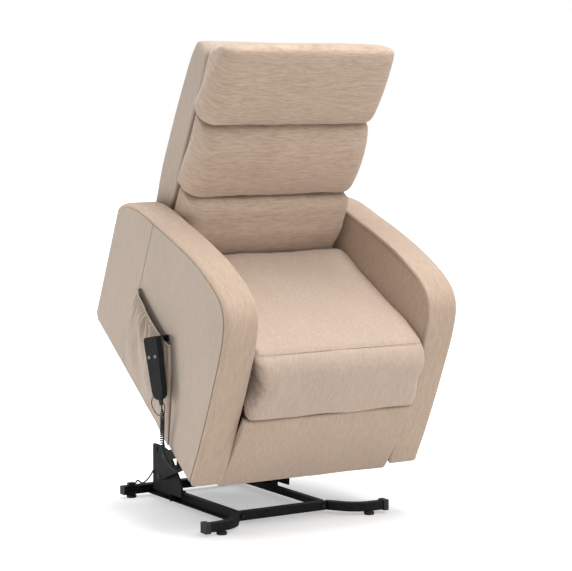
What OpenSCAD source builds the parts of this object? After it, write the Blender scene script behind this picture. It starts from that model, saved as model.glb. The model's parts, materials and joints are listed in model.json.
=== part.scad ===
// Lift recliner: a one-seat upholstered chair on a low steel base.
// A motor drives a pair of four-bar linkages that raise the chair and tip it forwards.
// Units are millimetres. X runs across, Y rearwards and Z up.
// The origin lies on the floor under the middle of the whole object.
// The chair itself is drawn seated, in a chair frame whose origin is the arms' front bottom
// corner, and is then placed raised and tipped, which is the rest pose.

/* [Chair] */
// Width over both arms
chair_w = 760; // [720:5:800]
// Width of one arm
arm_w = 103; // [95:1:110]
// Height of an arm above its bottom edge
arm_h = 523; // [500:1:545]
// Depth of an arm
arm_d = 778; // [750:1:800]
// Rounding of the arms' long edges
arm_edge_r = 14; // [8:1:18]
// Thickness of the padded panel on the outside of each arm
panel_t = 6; // [4:1:9]
// Gap between each soft piece and the arm beside it
soft_gap = 3; // [2:0.5:5]

/* [Raised pose] */
// Forward tip of the raised chair, in degrees
tilt = 36.5; // [35:0.5:38]
// Place of the chair's front bottom corner behind the base's front reference line
chair_y = -96; // [-100:1:-92]
// Height of the chair's front bottom corner above the floor
chair_z = 156; // [150:1:162]

/* [Seat] */
// Depth of the seat frame
seat_l = 523; // [500:1:545]
// Thickness of the seat frame's boards
board_t = 22; // [18:1:25]
// Height of the seat frame's boards
board_h = 26; // [22:1:30]
// Height of the seat frame's underside in the chair frame
seat_base_z = 240; // [236:1:244]
// Thickness of a zigzag seat spring
spring_t = 4; // [3:0.5:5]

/* [Back] */
// Width of the back shell
back_w = 528; // [510:2:540]
// Height of the back above its recline pivot
back_h = 620; // [600:5:640]
// Recline pivot behind the seat frame
recline_back = 15; // [13:0.5:20]
// Recline pivot above the seat frame's underside
recline_rise = 50; // [46:1:54]

/* [Base] */
// Height of the base tubes
tube_h = 25; // [22:1:28]
// Height of the rubber feet
foot_h = 12; // [8:1:16]
// Radius of the rubber feet
foot_r = 15; // [12:1:18]
// Length of the rear cross tube without its caps
rear_tube_l = 502; // [480:2:520]
// Depth of the rear cross tube
rear_tube_d = 28; // [24:1:30]
// Length of the front cross tube
front_tube_l = 300; // [296:2:304]
// Wall of the base tubes
tube_wall = 2; // [1.5:0.5:3]
// Thickness of the upright plates
upright_t = 6; // [5:0.5:7]

/* [Linkage] */
// Thickness of the lift links
link_t = 6; // [5:0.5:7]
// Width of the lift links
link_w = 32; // [28:1:34]
// Radius of the lift pins
pin_r = 6; // [5:0.5:7]
// Radial clearance of a running pin
run_gap = 0.06; // [0.02:0.01:0.1]
// Play of the tilt link's chair end, whose pivot is left open
tilt_play = 5; // [4.5:0.5:6]
// Play of the actuator's rod end, whose pivot is left open
rod_play = 8; // [7.5:0.5:9]
// Length of a footrest link
foot_link_l = 165; // [155:1:170]

/* [Handset] */
// Width of the handset
handset_w = 54; // [50:1:56]
// Length of the handset
handset_l = 172; // [160:2:180]
// Thickness of the handset
handset_t = 20; // [18:1:24]
// Radius of a handset button
button_r = 4.8; // [4:0.1:5.5]
// Outer diameter of the curly cord
curl_d = 13.5; // [12:0.5:14]
// Diameter of the curly cord's lead
lead_d = 4; // [3.5:0.1:4.2]

/* [Hidden] */

// Faces on a full circle
$fn = 48;
// How far a cut runs past the face that it opens
cut = 1;
// Clearance between two soft or fixed faces that must not touch
face_gap = 0.3;

// Colours
steel_black = [0.09, 0.09, 0.1];
plated_steel = [0.6, 0.6, 0.62];
rubber_black = [0.05, 0.05, 0.05];
plastic_black = [0.12, 0.12, 0.13];
plastic_grey = [0.62, 0.63, 0.65];
fabric_beige = [0.74, 0.62, 0.5];
panel_beige = [0.68, 0.6, 0.51];
wood_pale = [0.78, 0.64, 0.45];

// How far the handset stands out of the left side, for the middle of the whole
side_reach = 62;
// Rear face of the base, behind the base's front reference line
base_rear_y = 560;

// Front and rear of the seat frame behind the arms' front corner
seat_y0 = 62;
seat_y1 = seat_y0 + seat_l;
// Recline pivot in the chair frame
recline_y = seat_y1 + recline_back;
recline_z = seat_base_z + recline_rise;
recline_pivot = [recline_y, recline_z];

// Half width between the arms
inner_x = chair_w / 2 - arm_w;
// Half width of a soft piece between the arms
soft_x = inner_x - soft_gap;

// Outline of an arm from the side, as shares of its depth and height
arm_shares = [
    [0, 0], [0.019, 0.197], [0.048, 0.405], [0.075, 0.58], [0.11, 0.785], [0.15, 0.92],
    [0.2, 0.985], [0.26, 1.003], [0.34, 1], [0.45, 0.98], [0.58, 0.935], [0.72, 0.876],
    [0.86, 0.815], [0.945, 0.752], [0.99, 0.685]
];
arm_tail_shares = [[1, 0.655], [0.912, 0.012], [0.89, -0.012]];
arm_outline = concat(
    [for (p = open_curve(arm_shares, 4)) [p[0] * arm_d, p[1] * arm_h]],
    [for (p = arm_tail_shares) [p[0] * arm_d, p[1] * arm_h]]
);
// Foremost point of the raised arms, and the middle of the whole object
arm_front_y = min([for (p = arm_outline) in_base(p)[0]]);
centre_x = -side_reach / 2;
centre_y = (base_rear_y + arm_front_y) / 2;

// Turns a point in the side view by an angle
function turned(p, a) = [p[0] * cos(a) - p[1] * sin(a), p[0] * sin(a) + p[1] * cos(a)];
// Side-view point of the chair frame in the base frame, at rest
function in_base(p) = turned(p, tilt) + [chair_y, chair_z];
function angle_of(v) = atan2(v[1], v[0]);
// Point on a smooth curve between b and c
function curve_point(a, b, c, d, t) =
    (2 * b + (c - a) * t + (2 * a - 5 * b + 4 * c - d) * t * t + (3 * b - a - 3 * c + d) * t * t * t) / 2;
function open_curve(p, n) = concat(
    [for (i = [0 : len(p) - 2], k = [0 : n - 1])
        curve_point(p[max(i - 1, 0)], p[i], p[i + 1], p[min(i + 2, len(p) - 1)], k / n)],
    [p[len(p) - 1]]
);
function closed_curve(p, n) = [
    for (i = [0 : len(p) - 1], k = [0 : n - 1])
        curve_point(p[(i + len(p) - 1) % len(p)], p[i], p[(i + 1) % len(p)], p[(i + 2) % len(p)], k / n)
];
// A table of shares in real size
function sized(table, size) = [for (p = table) p * size];
// A table of shares in real size, from an origin of its own
function placed(table, origin, size) = [for (p = table) origin + p * size];
function middle_of(p) = [for (k = [0 : len(p[0]) - 1]) let (v = [for (q = p) q[k]]) (min(v) + max(v)) / 2];
function grown(p, c, k) = [for (q = p) c + (q - c) * k];

// Puts its children, drawn in the base frame, into the object's frame
module at_base() translate([-centre_x, -centre_y, 0]) children();
// Puts its children, drawn in the chair frame, into the object's frame, raised and tipped
module at_chair() at_base() translate([0, chair_y, chair_z]) rotate([tilt, 0, 0]) children();
// A side-view outline carried across from x0 to x1
module slab(points, x0, x1)
    translate([x0, 0, 0]) rotate([90, 0, 90]) linear_extrude(x1 - x0) polygon(points);
// A cylinder across, from x0 to x1, at a side-view point
module across(p, r, x0, x1)
    translate([x0, p[0], p[1]]) rotate([0, 90, 0]) cylinder(r = r, h = x1 - x0);
// How much narrower a flat bar is than its eyes
bar_step = 3;
// A flat bar from a to b with round eyes
module bar(a, b, w, x0, x1) {
    across(a, w / 2, x0, x1);
    across(b, w / 2, x0, x1);
    strip(a, b, w - bar_step, x0, x1);
}
// A flat bar with square ends
module strip(a, b, w, x0, x1) {
    side = [a[1] - b[1], b[0] - a[0]] / norm(b - a) * w / 2;
    slab([a - side, b - side, b + side, a + side], x0, x1);
}
// Draws its children on the right, or mirrored on the left where side is below zero
module mirrored(side) if (side < 0) mirror([1, 0, 0]) children(); else children();
// A closed solid through rings of equal count, with flat ends
module loft(rings) {
    n = len(rings[0]);
    m = len(rings);
    ends = [0, m - 1];
    points = concat([for (r = rings) each r], [for (e = ends) middle_of(rings[e])]);
    sides = [for (i = [0 : m - 2], j = [0 : n - 1]) each [
        [i * n + j, i * n + (j + 1) % n, (i + 1) * n + (j + 1) % n],
        [i * n + j, (i + 1) * n + (j + 1) % n, (i + 1) * n + j]
    ]];
    first = [for (j = [0 : n - 1]) [m * n, (j + 1) % n, j]];
    last = [for (j = [0 : n - 1]) [m * n + 1, (m - 1) * n + j, (m - 1) * n + (j + 1) % n]];
    polyhedron(points, concat(sides, first, last), convexity = 6);
}

// Cushions
// Stations across a cushion, as shares of its half width
station_shares = [-1, -0.985, -0.94, -0.85, -0.6, -0.3, 0, 0.3, 0.6, 0.85, 0.94, 0.985, 1];
// How far a cushion is drawn in at each station, as shares of its full draw
draw_shares = [1, 0.5, 0.22, 0.09, 0.025, 0.005, 0, 0.005, 0.025, 0.09, 0.22, 0.5, 1];
// A cushion whose section is filled across its width and drawn in at both sides.
// draw says how much of its depth and of its height the section loses at its ends.
module cushion(section, half_w, draw) {
    c = middle_of(section);
    loft([for (i = [0 : len(station_shares) - 1])
        let (k = [1 - draw[0] * draw_shares[i], 1 - draw[1] * draw_shares[i]])
        [for (q = section)
            [station_shares[i] * half_w, c[0] + (q[0] - c[0]) * k[0], c[1] + (q[1] - c[1]) * k[1]]]]);
}
seat_draw_shares = [0.03, 0.2];
back_draw_shares = [0.3, 0.1];
pad_draw_shares = [0.5, 0.02];

// Base: tubes, rails, outriggers and feet
foot_top = foot_h;
tube_top = foot_h + tube_h;
rail_web_x = 150;
rail_t = 3;
rail_in = 15;
rail_out = 20;
front_tube_y = 33;
front_tube_d = 25;
rear_tube_y = base_rear_y - rear_tube_d;
cap_t = 3;
cap_rim = 1.5;
outrigger_w = 24;
// Centre line of the left outrigger from the front cross tube, seen from above
outrigger_shares = [
    [-0.5, 0.152], [-0.553, 0.087], [-0.633, -0.027], [-0.74, -0.103], [-0.853, -0.13], [-0.97, -0.133]
];
outrigger_path = sized(outrigger_shares, front_tube_l);
outrigger_cap_l = 16;
outrigger_cap_w = 31;
front_foot_shares = [0.8267, -0.1333];
front_foot = front_foot_shares * front_tube_l;
rear_foot_inset = 29;
rear_foot = [rear_tube_l / 2 - rear_foot_inset, rear_tube_y + rear_tube_d / 2];
module tube_x(l, d, h, wall) difference() {
    translate([-l / 2, 0, 0]) cube([l, d, h]);
    translate([-l / 2 - cut, wall, wall]) cube([l + 2 * cut, d - 2 * wall, h - 2 * wall]);
}
module rear_cross_tube() color(steel_black) at_base()
    translate([0, rear_tube_y, foot_top]) tube_x(rear_tube_l, rear_tube_d, tube_h, tube_wall);
module front_cross_tube() color(steel_black) at_base() difference() {
    translate([0, front_tube_y, foot_top]) tube_x(front_tube_l, front_tube_d, tube_h, tube_wall);
    for (x = bolt_xs) translate([x, front_tube_y - cut, foot_top + tube_h / 2])
        rotate([-90, 0, 0]) cylinder(r = bolt_hole_r, h = tube_wall + 2 * cut);
}
bolt_inset = 14;
bolt_xs = [-front_tube_l / 2 + bolt_inset, front_tube_l / 2 - bolt_inset];
bolt_hole_r = 3.2;
bolt_r = 3;
bolt_head_r = 5.5;
bolt_head_h = 3.5;
module side_rail(side) color(steel_black) at_base() mirrored(side) difference() {
    union() {
        translate([rail_web_x, front_tube_y + front_tube_d, foot_top]) cube([rail_t, rail_l, tube_h]);
        translate([rail_web_x, front_tube_y + front_tube_d, foot_top])
            cube([rail_out + rail_t, rail_l, rail_t]);
        translate([rail_web_x - rail_in, front_tube_y + front_tube_d, tube_top - rail_t])
            cube([rail_in + rail_t, rail_l, rail_t]);
    }
    for (y = rail_hole_ys) translate([rail_web_x - rail_in / 2, y, tube_top - rail_t - cut])
        cylinder(r = bolt_hole_r, h = rail_t + 2 * cut);
}
rail_l = rear_tube_y - front_tube_y - front_tube_d;
upright_y0 = 364;
upright_y1 = 471;
rail_hole_inset = 20;
rail_hole_ys = [upright_y0 + rail_hole_inset, upright_y1 - rail_hole_inset];
// Offsets a path sideways, for the two edges of a bent bar
function path_edge(p, d) = [for (i = [0 : len(p) - 1])
    let (t = p[min(i + 1, len(p) - 1)] - p[max(i - 1, 0)]) p[i] + d * [-t[1], t[0]] / norm(t)];
module outrigger(side) color(steel_black) at_base() mirrored(-side) difference() {
    line = open_curve(outrigger_path, 6);
    back = path_edge(line, outrigger_w / 2);
    front = path_edge(line, -outrigger_w / 2);
    translate([0, 0, foot_top]) linear_extrude(tube_h)
        polygon(concat(front, [for (i = [len(back) - 1 : -1 : 0]) back[i]]));
    translate([-front_tube_l / 2, front_tube_y - outrigger_w, foot_top - cut])
        cube([front_tube_l, front_tube_d + 2 * outrigger_w, tube_h + 2 * cut]);
}
module base_end_caps() color(rubber_black) at_base() {
    for (side = [-1, 1]) mirrored(side) {
        translate([rear_tube_l / 2, rear_tube_y, foot_top]) cube([cap_t, rear_tube_d, tube_h]);
        inset = tube_wall + face_gap;
        translate([rear_tube_l / 2 - 5 * cap_t, rear_tube_y + inset, foot_top + inset])
            cube([5 * cap_t, rear_tube_d - 2 * inset, tube_h - 2 * inset]);
        end = outrigger_path[len(outrigger_path) - 1];
        translate([-end[0], end[1] - outrigger_cap_w / 2, foot_top - 2 * cap_rim])
            cube([outrigger_cap_l, outrigger_cap_w, tube_h + 4 * cap_rim]);
    }
}
module foot() rotate_extrude()
    polygon([[0, 0], [foot_r - foot_h / 8, 0], [foot_r, foot_h / 8], [foot_r, foot_h * 2 / 3],
        [foot_r * 3 / 4, foot_h * 3 / 4], [foot_r * 3 / 4, foot_h], [0, foot_h]]);
module rubber_feet() color(rubber_black) at_base() for (side = [-1, 1], f = [front_foot, rear_foot])
    translate([side * f[0], f[1], 0]) foot();

// Uprights and pivots of the linkage on the base
lift_pivot = [388, 150];
tilt_pivot = [402, 86];
upright_x = 182;
upright_top = 175;
// Small cut corner of an upright, and the gusset at its front
upright_nick = 4;
gusset_l = 66;
gusset_h = 38;
upright_outline = [
    [upright_y0 - gusset_l, tube_top], [upright_y1, tube_top], [upright_y1, upright_top - upright_nick],
    [upright_y1 - upright_nick, upright_top], [upright_y1 - 8 * upright_nick, upright_top],
    [lift_pivot[0] + 2 * pin_r, upright_top - upright_nick],
    [upright_y0 + upright_nick, upright_top - 3 * upright_nick], [upright_y0, upright_top - 6 * upright_nick],
    [upright_y0 - gusset_l, tube_top + gusset_h]
];
slot_y = 443;
slot_z0 = 157;
slot_z1 = 166;
slot_r = 3.5;
upright_foot_t = 4;
module upright(side) color(steel_black) at_base() mirrored(side) difference() {
    union() {
        slab(upright_outline, upright_x, upright_x + upright_t);
        translate([rail_web_x - rail_in, upright_y0, tube_top])
            cube([upright_x - rail_web_x + rail_in, upright_y1 - upright_y0, upright_foot_t]);
        translate([rail_web_x + rail_t, upright_y0, foot_top + rail_t])
            cube([upright_x + upright_t - rail_web_x - rail_t, rail_t, tube_h - rail_t]);
    }
    for (z = [slot_z0, slot_z1]) across([slot_y, z], slot_r, upright_x - cut, upright_x + upright_t + cut);
    translate([upright_x - cut, slot_y - slot_r, slot_z0])
        cube([upright_t + 2 * cut, 2 * slot_r, slot_z1 - slot_z0]);
    for (p = [lift_pivot, tilt_pivot]) across(p, pin_r, upright_x - cut, upright_x + upright_t + cut);
    for (y = rail_hole_ys) translate([rail_web_x - rail_in / 2, y, tube_top - cut])
        cylinder(r = bolt_hole_r, h = upright_foot_t + 2 * cut);
}
// Planes of the links, outwards from the uprights
plane_gap = 2;
lift_x0 = upright_x + upright_t + plane_gap;
lift_x1 = lift_x0 + link_t;
tilt_x0 = lift_x1 + 2 * plane_gap;
tilt_x1 = tilt_x0 + link_t;
plate_x0 = tilt_x1 + 3 * plane_gap;
plate_t = 6;
plate_x1 = plate_x0 + plate_t;
pin_head_r = 10;
pin_head_t = 2.5;
module pivot_pin(p, r, x0, x1) {
    across(p, r, x0, x1);
    across(p, pin_head_r, x0 - pin_head_t, x0);
}
module base_pivot_pins() color(plated_steel) at_base() {
    for (side = [-1, 1]) mirrored(side) {
        pivot_pin(lift_pivot, pin_r, upright_x, lift_x1);
        across(lift_pivot, pin_r + plane_gap, upright_x + upright_t, lift_x0 - run_gap);
        across(lift_pivot, pin_r + plane_gap, lift_x1 + run_gap, lift_x1 + plane_gap);
        across(lift_pivot, pin_r, lift_x1, lift_x1 + plane_gap);
        pivot_pin(tilt_pivot, pin_r, upright_x, tilt_x1 + plane_gap);
        across(tilt_pivot, pin_r + plane_gap, upright_x + upright_t, tilt_x0 - run_gap);
        across(tilt_pivot, pin_r + plane_gap, tilt_x1 + run_gap, tilt_x1 + plane_gap);
    }
    across(motor_pivot, pin_r, -clevis_x - clevis_t, clevis_x + clevis_t);
    for (side = [-1, 1]) mirrored(side)
        across(motor_pivot, pin_head_r, clevis_x + clevis_t, clevis_x + clevis_t + pin_head_t);
}
module bolt(z0, z1) {
    translate([0, 0, z0]) cylinder(r = bolt_r, h = z1 - z0);
    translate([0, 0, z1]) cylinder(r = bolt_head_r, h = bolt_head_h, $fn = 6);
}
module base_bolts() color(plated_steel) at_base() {
    for (side = [-1, 1]) mirrored(side) for (y = rail_hole_ys)
        translate([rail_web_x - rail_in / 2, y, 0]) bolt(tube_top - 2 * rail_t, tube_top + upright_foot_t);
    for (x = bolt_xs) translate([x, front_tube_y, foot_top + tube_h / 2])
        rotate([90, 0, 0]) bolt(-4 * tube_wall, 0);
}

// Actuator between the rear cross tube and the front of the seat frame
motor_pivot = [480, 58];
rod_pivot = [113, 147];
clevis_x = 20;
clevis_t = 5;
clevis_r = 14;
module actuator_bracket() color(steel_black) at_base() difference() {
    for (side = [-1, 1]) mirrored(side) {
        across(motor_pivot, clevis_r, clevis_x, clevis_x + clevis_t);
        slab([[motor_pivot[0], motor_pivot[1] - clevis_r], [rear_tube_y, foot_top + tube_wall],
            [rear_tube_y, tube_top], [motor_pivot[0] + tube_wall, motor_pivot[1] + clevis_r]],
            clevis_x, clevis_x + clevis_t);
    }
    across(motor_pivot, pin_r, -clevis_x - clevis_t - cut, clevis_x + clevis_t + cut);
}
rod_point = in_base(rod_pivot);
actuator_l = norm(rod_point - motor_pivot);
actuator_a = angle_of(rod_point - motor_pivot);
actuator_tube_r = 17;
rod_r = 10;
rod_head_l = 30;
actuator_tube_l = 470;
gearbox_l = 74;
gearbox_w = 37;
motor_r = 24;
motor_l = 118;
motor_side = 46;
motor_nose_h = 5;
gearbox_r = 6;
gearbox_lid = 4;
gearbox_rim = 2;
gearbox_step = 14;
eye_r = 12;
// Draws along the actuator: Z points from the base pivot to the rod's pivot
module on_actuator() at_base() translate([0, motor_pivot[0], motor_pivot[1]])
    rotate([actuator_a - 90, 0, 0]) children();
module eye_hole(r, half) rotate([0, 90, 0]) translate([0, 0, -half]) cylinder(r = r, h = 2 * half);
module motor_gearbox() color(plastic_black) on_actuator() difference() {
    union() {
        eye_hole(eye_r, clevis_x - plane_gap);
        translate([-eye_r, -eye_r, 0]) cube([2 * eye_r, 2 * eye_r, 1.5 * eye_r]);
        hull() for (x = [-1, 1], y = [-1, 1])
            translate([x * (gearbox_w / 2 - gearbox_r), y * (gearbox_w / 2 - gearbox_r), eye_r + gearbox_lid])
                cylinder(r = gearbox_r, h = gearbox_l, $fn = 32);
        hull() {
            translate([motor_side, 0, eye_r + gearbox_step])
                cylinder(r = motor_r + gearbox_rim, h = gearbox_l * 2 / 3, $fn = 32);
            translate([0, 0, eye_r + gearbox_step])
                cylinder(r = gearbox_w / 2, h = gearbox_l * 2 / 3, $fn = 32);
        }
    }
    eye_hole(pin_r + run_gap, clevis_x);
}
module motor_can() color(plastic_black) on_actuator()
    translate([motor_side, 0, eye_r + gearbox_step + gearbox_l * 2 / 3]) {
        cylinder(r = motor_r, h = motor_l);
        translate([0, 0, motor_l]) cylinder(r = motor_r * 3 / 4, h = motor_nose_h);
    }
tube_z0 = eye_r + gearbox_lid + gearbox_l;
tube_collar_l = 20;
tube_collar_t = 2;
tube_floor = 10;
rod_gap = 0.08;
module actuator_tube() color(plastic_black) on_actuator() difference() {
    union() {
        translate([0, 0, tube_z0]) cylinder(r = actuator_tube_r, h = actuator_tube_l - tube_z0);
        translate([0, 0, actuator_tube_l - tube_collar_l])
            cylinder(r = actuator_tube_r + tube_collar_t, h = tube_collar_l);
    }
    translate([0, 0, tube_z0 + tube_floor]) cylinder(r = rod_r + rod_gap, h = actuator_tube_l);
}
rod_end_rim = 5;
rod_end_half = 9;
rod_end_floor = 8;
rod_end_r = pin_r + rod_play + rod_end_rim;
module actuator_rod() color(plated_steel) on_actuator()
    translate([0, 0, rod_z0]) cylinder(r = rod_r, h = actuator_l - rod_end_r - rod_end_floor - rod_z0);
rod_z0 = 330;
module rod_end() color(plastic_black) on_actuator() translate([0, 0, actuator_l]) difference() {
    union() {
        eye_hole(rod_end_r, rod_end_half);
        translate([-rod_end_half, -rod_r, -rod_end_r - rod_head_l])
            cube([2 * rod_end_half, 2 * rod_r, rod_end_r + rod_head_l]);
    }
    eye_hole(pin_r + rod_play, rod_end_half + cut);
    translate([0, 0, -rod_end_r - rod_head_l - cut]) cylinder(r = rod_r, h = rod_head_l - rod_end_floor + cut);
}

// Lift links, their cross tube and the tilt links
lift_foot = [76, 75];
tilt_foot = [110, 30];
// Upper pivot of the footrest's front links, in the chair frame
front_link_top = [86, 175];
lift_point = in_base(lift_foot);
tilt_point = in_base(tilt_foot);
torque_share = 0.8;
torque_point = lift_pivot + (lift_point - lift_pivot) * torque_share;
torque_r = 12;
torque_eye_r = 22;
tilt_link_w = 26;
tilt_rim = 6;
module lift_link(side) color(steel_black) at_base() mirrored(side) difference() {
    union() {
        bar(lift_pivot, lift_point, link_w, lift_x0, lift_x1);
        across(torque_point, torque_eye_r, lift_x0, lift_x1);
    }
    for (p = [lift_pivot, lift_point]) across(p, pin_r + run_gap, lift_x0 - cut, lift_x1 + cut);
    across(torque_point, torque_r, lift_x0 - cut, lift_x1 + cut);
}
module torque_tube() color(steel_black) at_base() difference() {
    across(torque_point, torque_r, -lift_x1, lift_x1);
    across(torque_point, torque_r - tube_wall, -lift_x1 - cut, lift_x1 + cut);
}
module tilt_link(side) color(steel_black) at_base() mirrored(side) difference() {
    union() {
        bar(tilt_pivot, tilt_point, tilt_link_w, tilt_x0, tilt_x1);
        across(tilt_point, pin_r + tilt_play + tilt_rim, tilt_x0, tilt_x1);
    }
    across(tilt_pivot, pin_r + run_gap, tilt_x0 - cut, tilt_x1 + cut);
    across(tilt_point, pin_r + tilt_play, tilt_x0 - cut, tilt_x1 + cut);
}

// Chair side of the mechanism
// How far the plate reaches round its pivots
plate_rim = 18;
plate_rear_y = recline_y + plate_rim;
plate_outline = [
    lift_foot + plate_rim * [-1, -0.72], tilt_foot + plate_rim * [-2.44, 0.44],
    tilt_foot + plate_rim * [-0.67, -1], tilt_foot + plate_rim * [0.89, -1],
    tilt_foot + plate_rim * [3.33, 1.67],
    [seat_y0 + 0.34 * seat_l, 0.5 * seat_base_z], [seat_y0 + 0.876 * seat_l, 0.79 * seat_base_z],
    [plate_rear_y, 0.96 * seat_base_z], [plate_rear_y, seat_base_z],
    [front_link_top[0] - 0.44 * plate_rim, seat_base_z], front_link_top + plate_rim * [-0.67, 0.83],
    front_link_top + plate_rim * [-0.67, -2.72], lift_foot + plate_rim * [-0.17, 1.39],
    lift_foot + plate_rim * [-1, 0.83]
];
plate_flange_w = 50;
plate_flange_t = 4;
plate_flange_y = seat_y0 + 0.15 * seat_l;
plate_slot_ys = [for (k = [0.32, 0.51, 0.7]) seat_y0 + k * seat_l];
plate_slot_z = seat_base_z * 5 / 6;
plate_slot_l = 44;
plate_slot_r = 10;
module mechanism_plate(side) color(steel_black) at_chair() mirrored(side) difference() {
    union() {
        slab(plate_outline, plate_x0, plate_x1);
        translate([plate_x0, plate_flange_y, seat_base_z - plate_flange_t])
            cube([plate_flange_w, plate_rear_y - plate_flange_y, plate_flange_t]);
    }
    for (p = [lift_foot, tilt_foot]) across(p, pin_r, plate_x0 - cut, plate_x1 + cut);
    for (p = [front_link_top, rear_link_top]) across(p, foot_pin_r, plate_x0 - cut, plate_x1 + cut);
    across(drive_tube_point, drive_tube_r, plate_x0 - cut, plate_x1 + cut);
    for (y = plate_slot_ys) {
        for (s = [-1, 1])
            across([y + s * plate_slot_l / 2, plate_slot_z], plate_slot_r, plate_x0 - cut, plate_x1 + cut);
        translate([plate_x0 - cut, y - plate_slot_l / 2, plate_slot_z - plate_slot_r])
            cube([plate_t + 2 * cut, plate_slot_l, 2 * plate_slot_r]);
    }
}
module chair_pivot_pins() color(plated_steel) at_chair() for (side = [-1, 1]) mirrored(side) {
    across(lift_foot, pin_r, lift_x0, plate_x1);
    across(lift_foot, pin_head_r, plate_x1, plate_x1 + pin_head_t);
    across(lift_foot, pin_r + plane_gap, lift_x1 + run_gap, plate_x0);
    across(lift_foot, pin_r + plane_gap, lift_x0 - plane_gap, lift_x0 - run_gap);
    across(lift_foot, pin_r, lift_x0 - plane_gap, lift_x0);
    across(tilt_foot, pin_r, tilt_x0, plate_x1);
    across(tilt_foot, pin_head_r, plate_x1, plate_x1 + pin_head_t);
}
drive_tube_point = [118, 190];
drive_tube_r = 14;
ear_x = 10;
ear_t = 5;
ear_r = 18;
module drive_tube() color(steel_black) at_chair() {
    difference() {
        union() {
            across(drive_tube_point, drive_tube_r, -plate_x1, plate_x1);
            for (side = [-1, 1]) mirrored(side)
                bar(drive_tube_point, rod_pivot, 2 * ear_r, ear_x, ear_x + ear_t);
        }
        across(drive_tube_point, drive_tube_r - tube_wall, -plate_x1 - cut, plate_x1 + cut);
    }
    across(rod_pivot, pin_r, -ear_x, ear_x);
}

// Seat frame, springs and cushion
seat_top_z = seat_base_z + board_h;
module seat_frame() color(wood_pale) at_chair() {
    for (y = [seat_y0, seat_y1 - board_t])
        translate([-inner_x, y, seat_base_z]) cube([2 * inner_x, board_t, board_h]);
    for (side = [-1, 1]) mirrored(side) translate([inner_x - board_t, seat_y0 + board_t, seat_base_z])
        cube([board_t, seat_y1 - seat_y0 - 2 * board_t, board_h]);
}
spring_count = 5;
spring_pitch = 96;
spring_w = 44;
spring_l = seat_y1 - seat_y0 - 2 * board_t;
// Zigzag wire seen from above, as a thin band
spring_bends = 23;
function zigzag(d) = [for (k = [0 : spring_bends])
    [(k % 2 == 0 ? -1 : 1) * (spring_w / 2 - spring_t) + d, k * spring_l / spring_bends]];
module seat_springs() color(plated_steel) at_chair() for (i = [0 : spring_count - 1])
    translate([(i - (spring_count - 1) / 2) * spring_pitch, seat_y0 + board_t, seat_top_z - 3 * spring_t])
        linear_extrude(spring_t) {
            left = zigzag(-spring_t / 2);
            right = zigzag(spring_t / 2);
            polygon(concat(right, [for (k = [len(left) - 1 : -1 : 0]) left[k]]));
        }
// Section of the seat cushion in the chair frame: top, back, underside and rolled front
seat_section_shares = [
    [-0.1055, -0.0149], [-0.0995, 0.0671], [-0.0845, 0.1721], [-0.0455, 0.2601], [0.0425, 0.3131],
    [0.2125, 0.3061], [0.4725, 0.2641], [0.7265, 0.2261], [0.9145, 0.2031], [0.9545, 0.1721],
    [0.9485, 0.0951], [0.8375, 0.0541], [0.4555, 0.0531], [0.0915, 0.0541], [0.0065, 0.0585],
    [-0.0126, 0.052], [-0.0205, 0.0115], [-0.0685, -0.0279]
];
seat_section = closed_curve(placed(seat_section_shares, [seat_y0, seat_base_z], seat_l), 2);
module seat_cushion() color(fabric_beige) at_chair() cushion(seat_section, soft_x, seat_draw_shares);

// Arms and side panels
module arm(side) color(fabric_beige) at_chair() mirrored(side) hull() {
    x0 = inner_x;
    x1 = chair_w / 2 - panel_t;
    c = middle_of(arm_outline);
    slab(grown(arm_outline, c, 1), x0 + arm_edge_r, x1 - arm_edge_r);
    slab(grown(arm_outline, c, 1 - 0.6 * arm_edge_r / arm_h), x0 + 0.3 * arm_edge_r, x1 - 0.3 * arm_edge_r);
    slab(grown(arm_outline, c, 1 - 2 * arm_edge_r / arm_h), x0, x1);
}
module side_panel(side) color(panel_beige) at_chair() mirrored(side)
    slab(grown(arm_outline, middle_of(arm_outline), 1 - 1.4 * arm_edge_r / arm_h),
        chair_w / 2 - panel_t, chair_w / 2);
rear_panel_y = 698;
rear_panel_z = 24;
rear_panel_h = 180;
rear_panel_t = 10;
module rear_panel() color(panel_beige) at_chair() translate([-inner_x, rear_panel_y, rear_panel_z])
    cube([2 * inner_x, rear_panel_t, rear_panel_h]);

// Pocket on the left side panel: a pouch with a gathered mouth and hanging folds
pocket_shares = [
    [[1.011, 0.482], [0.574, 0.467]], [[1.017, 0.382], [0.501, 0.375]], [[1.015, 0.287], [0.436, 0.268]],
    [[0.994, 0.191], [0.38, 0.172]], [[0.973, 0.109], [0.333, 0.088]], [[0.948, 0.038], [0.291, 0.015]]
];
pocket_outline = [for (row = pocket_shares) sized(row, arm_h)];
pocket_bulge = 24;
pocket_back = 1.5;
pocket_cols = 26;
pocket_fold = 4;
pocket_folds = 4;
pocket_row_shares = [0.75, 0.9, 1, 0.95, 0.75, 0.25];
pocket_full_shares = [0.25, 0.4, 0.6, 0.6, 0.6, 0.6];
function pocket_x(i, u) = pocket_back
    + pocket_bulge * pocket_row_shares[i] * pow(sin(180 * u), pocket_full_shares[i])
    + pocket_fold * sin(180 * u) * cos(360 * pocket_folds * u + 60 * i);
pocket_wall = 2.5;
pocket_rows = len(pocket_outline);
// How much of each row's length the pocket's inside leaves out at its ends
pocket_end_share = 0.06;
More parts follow.
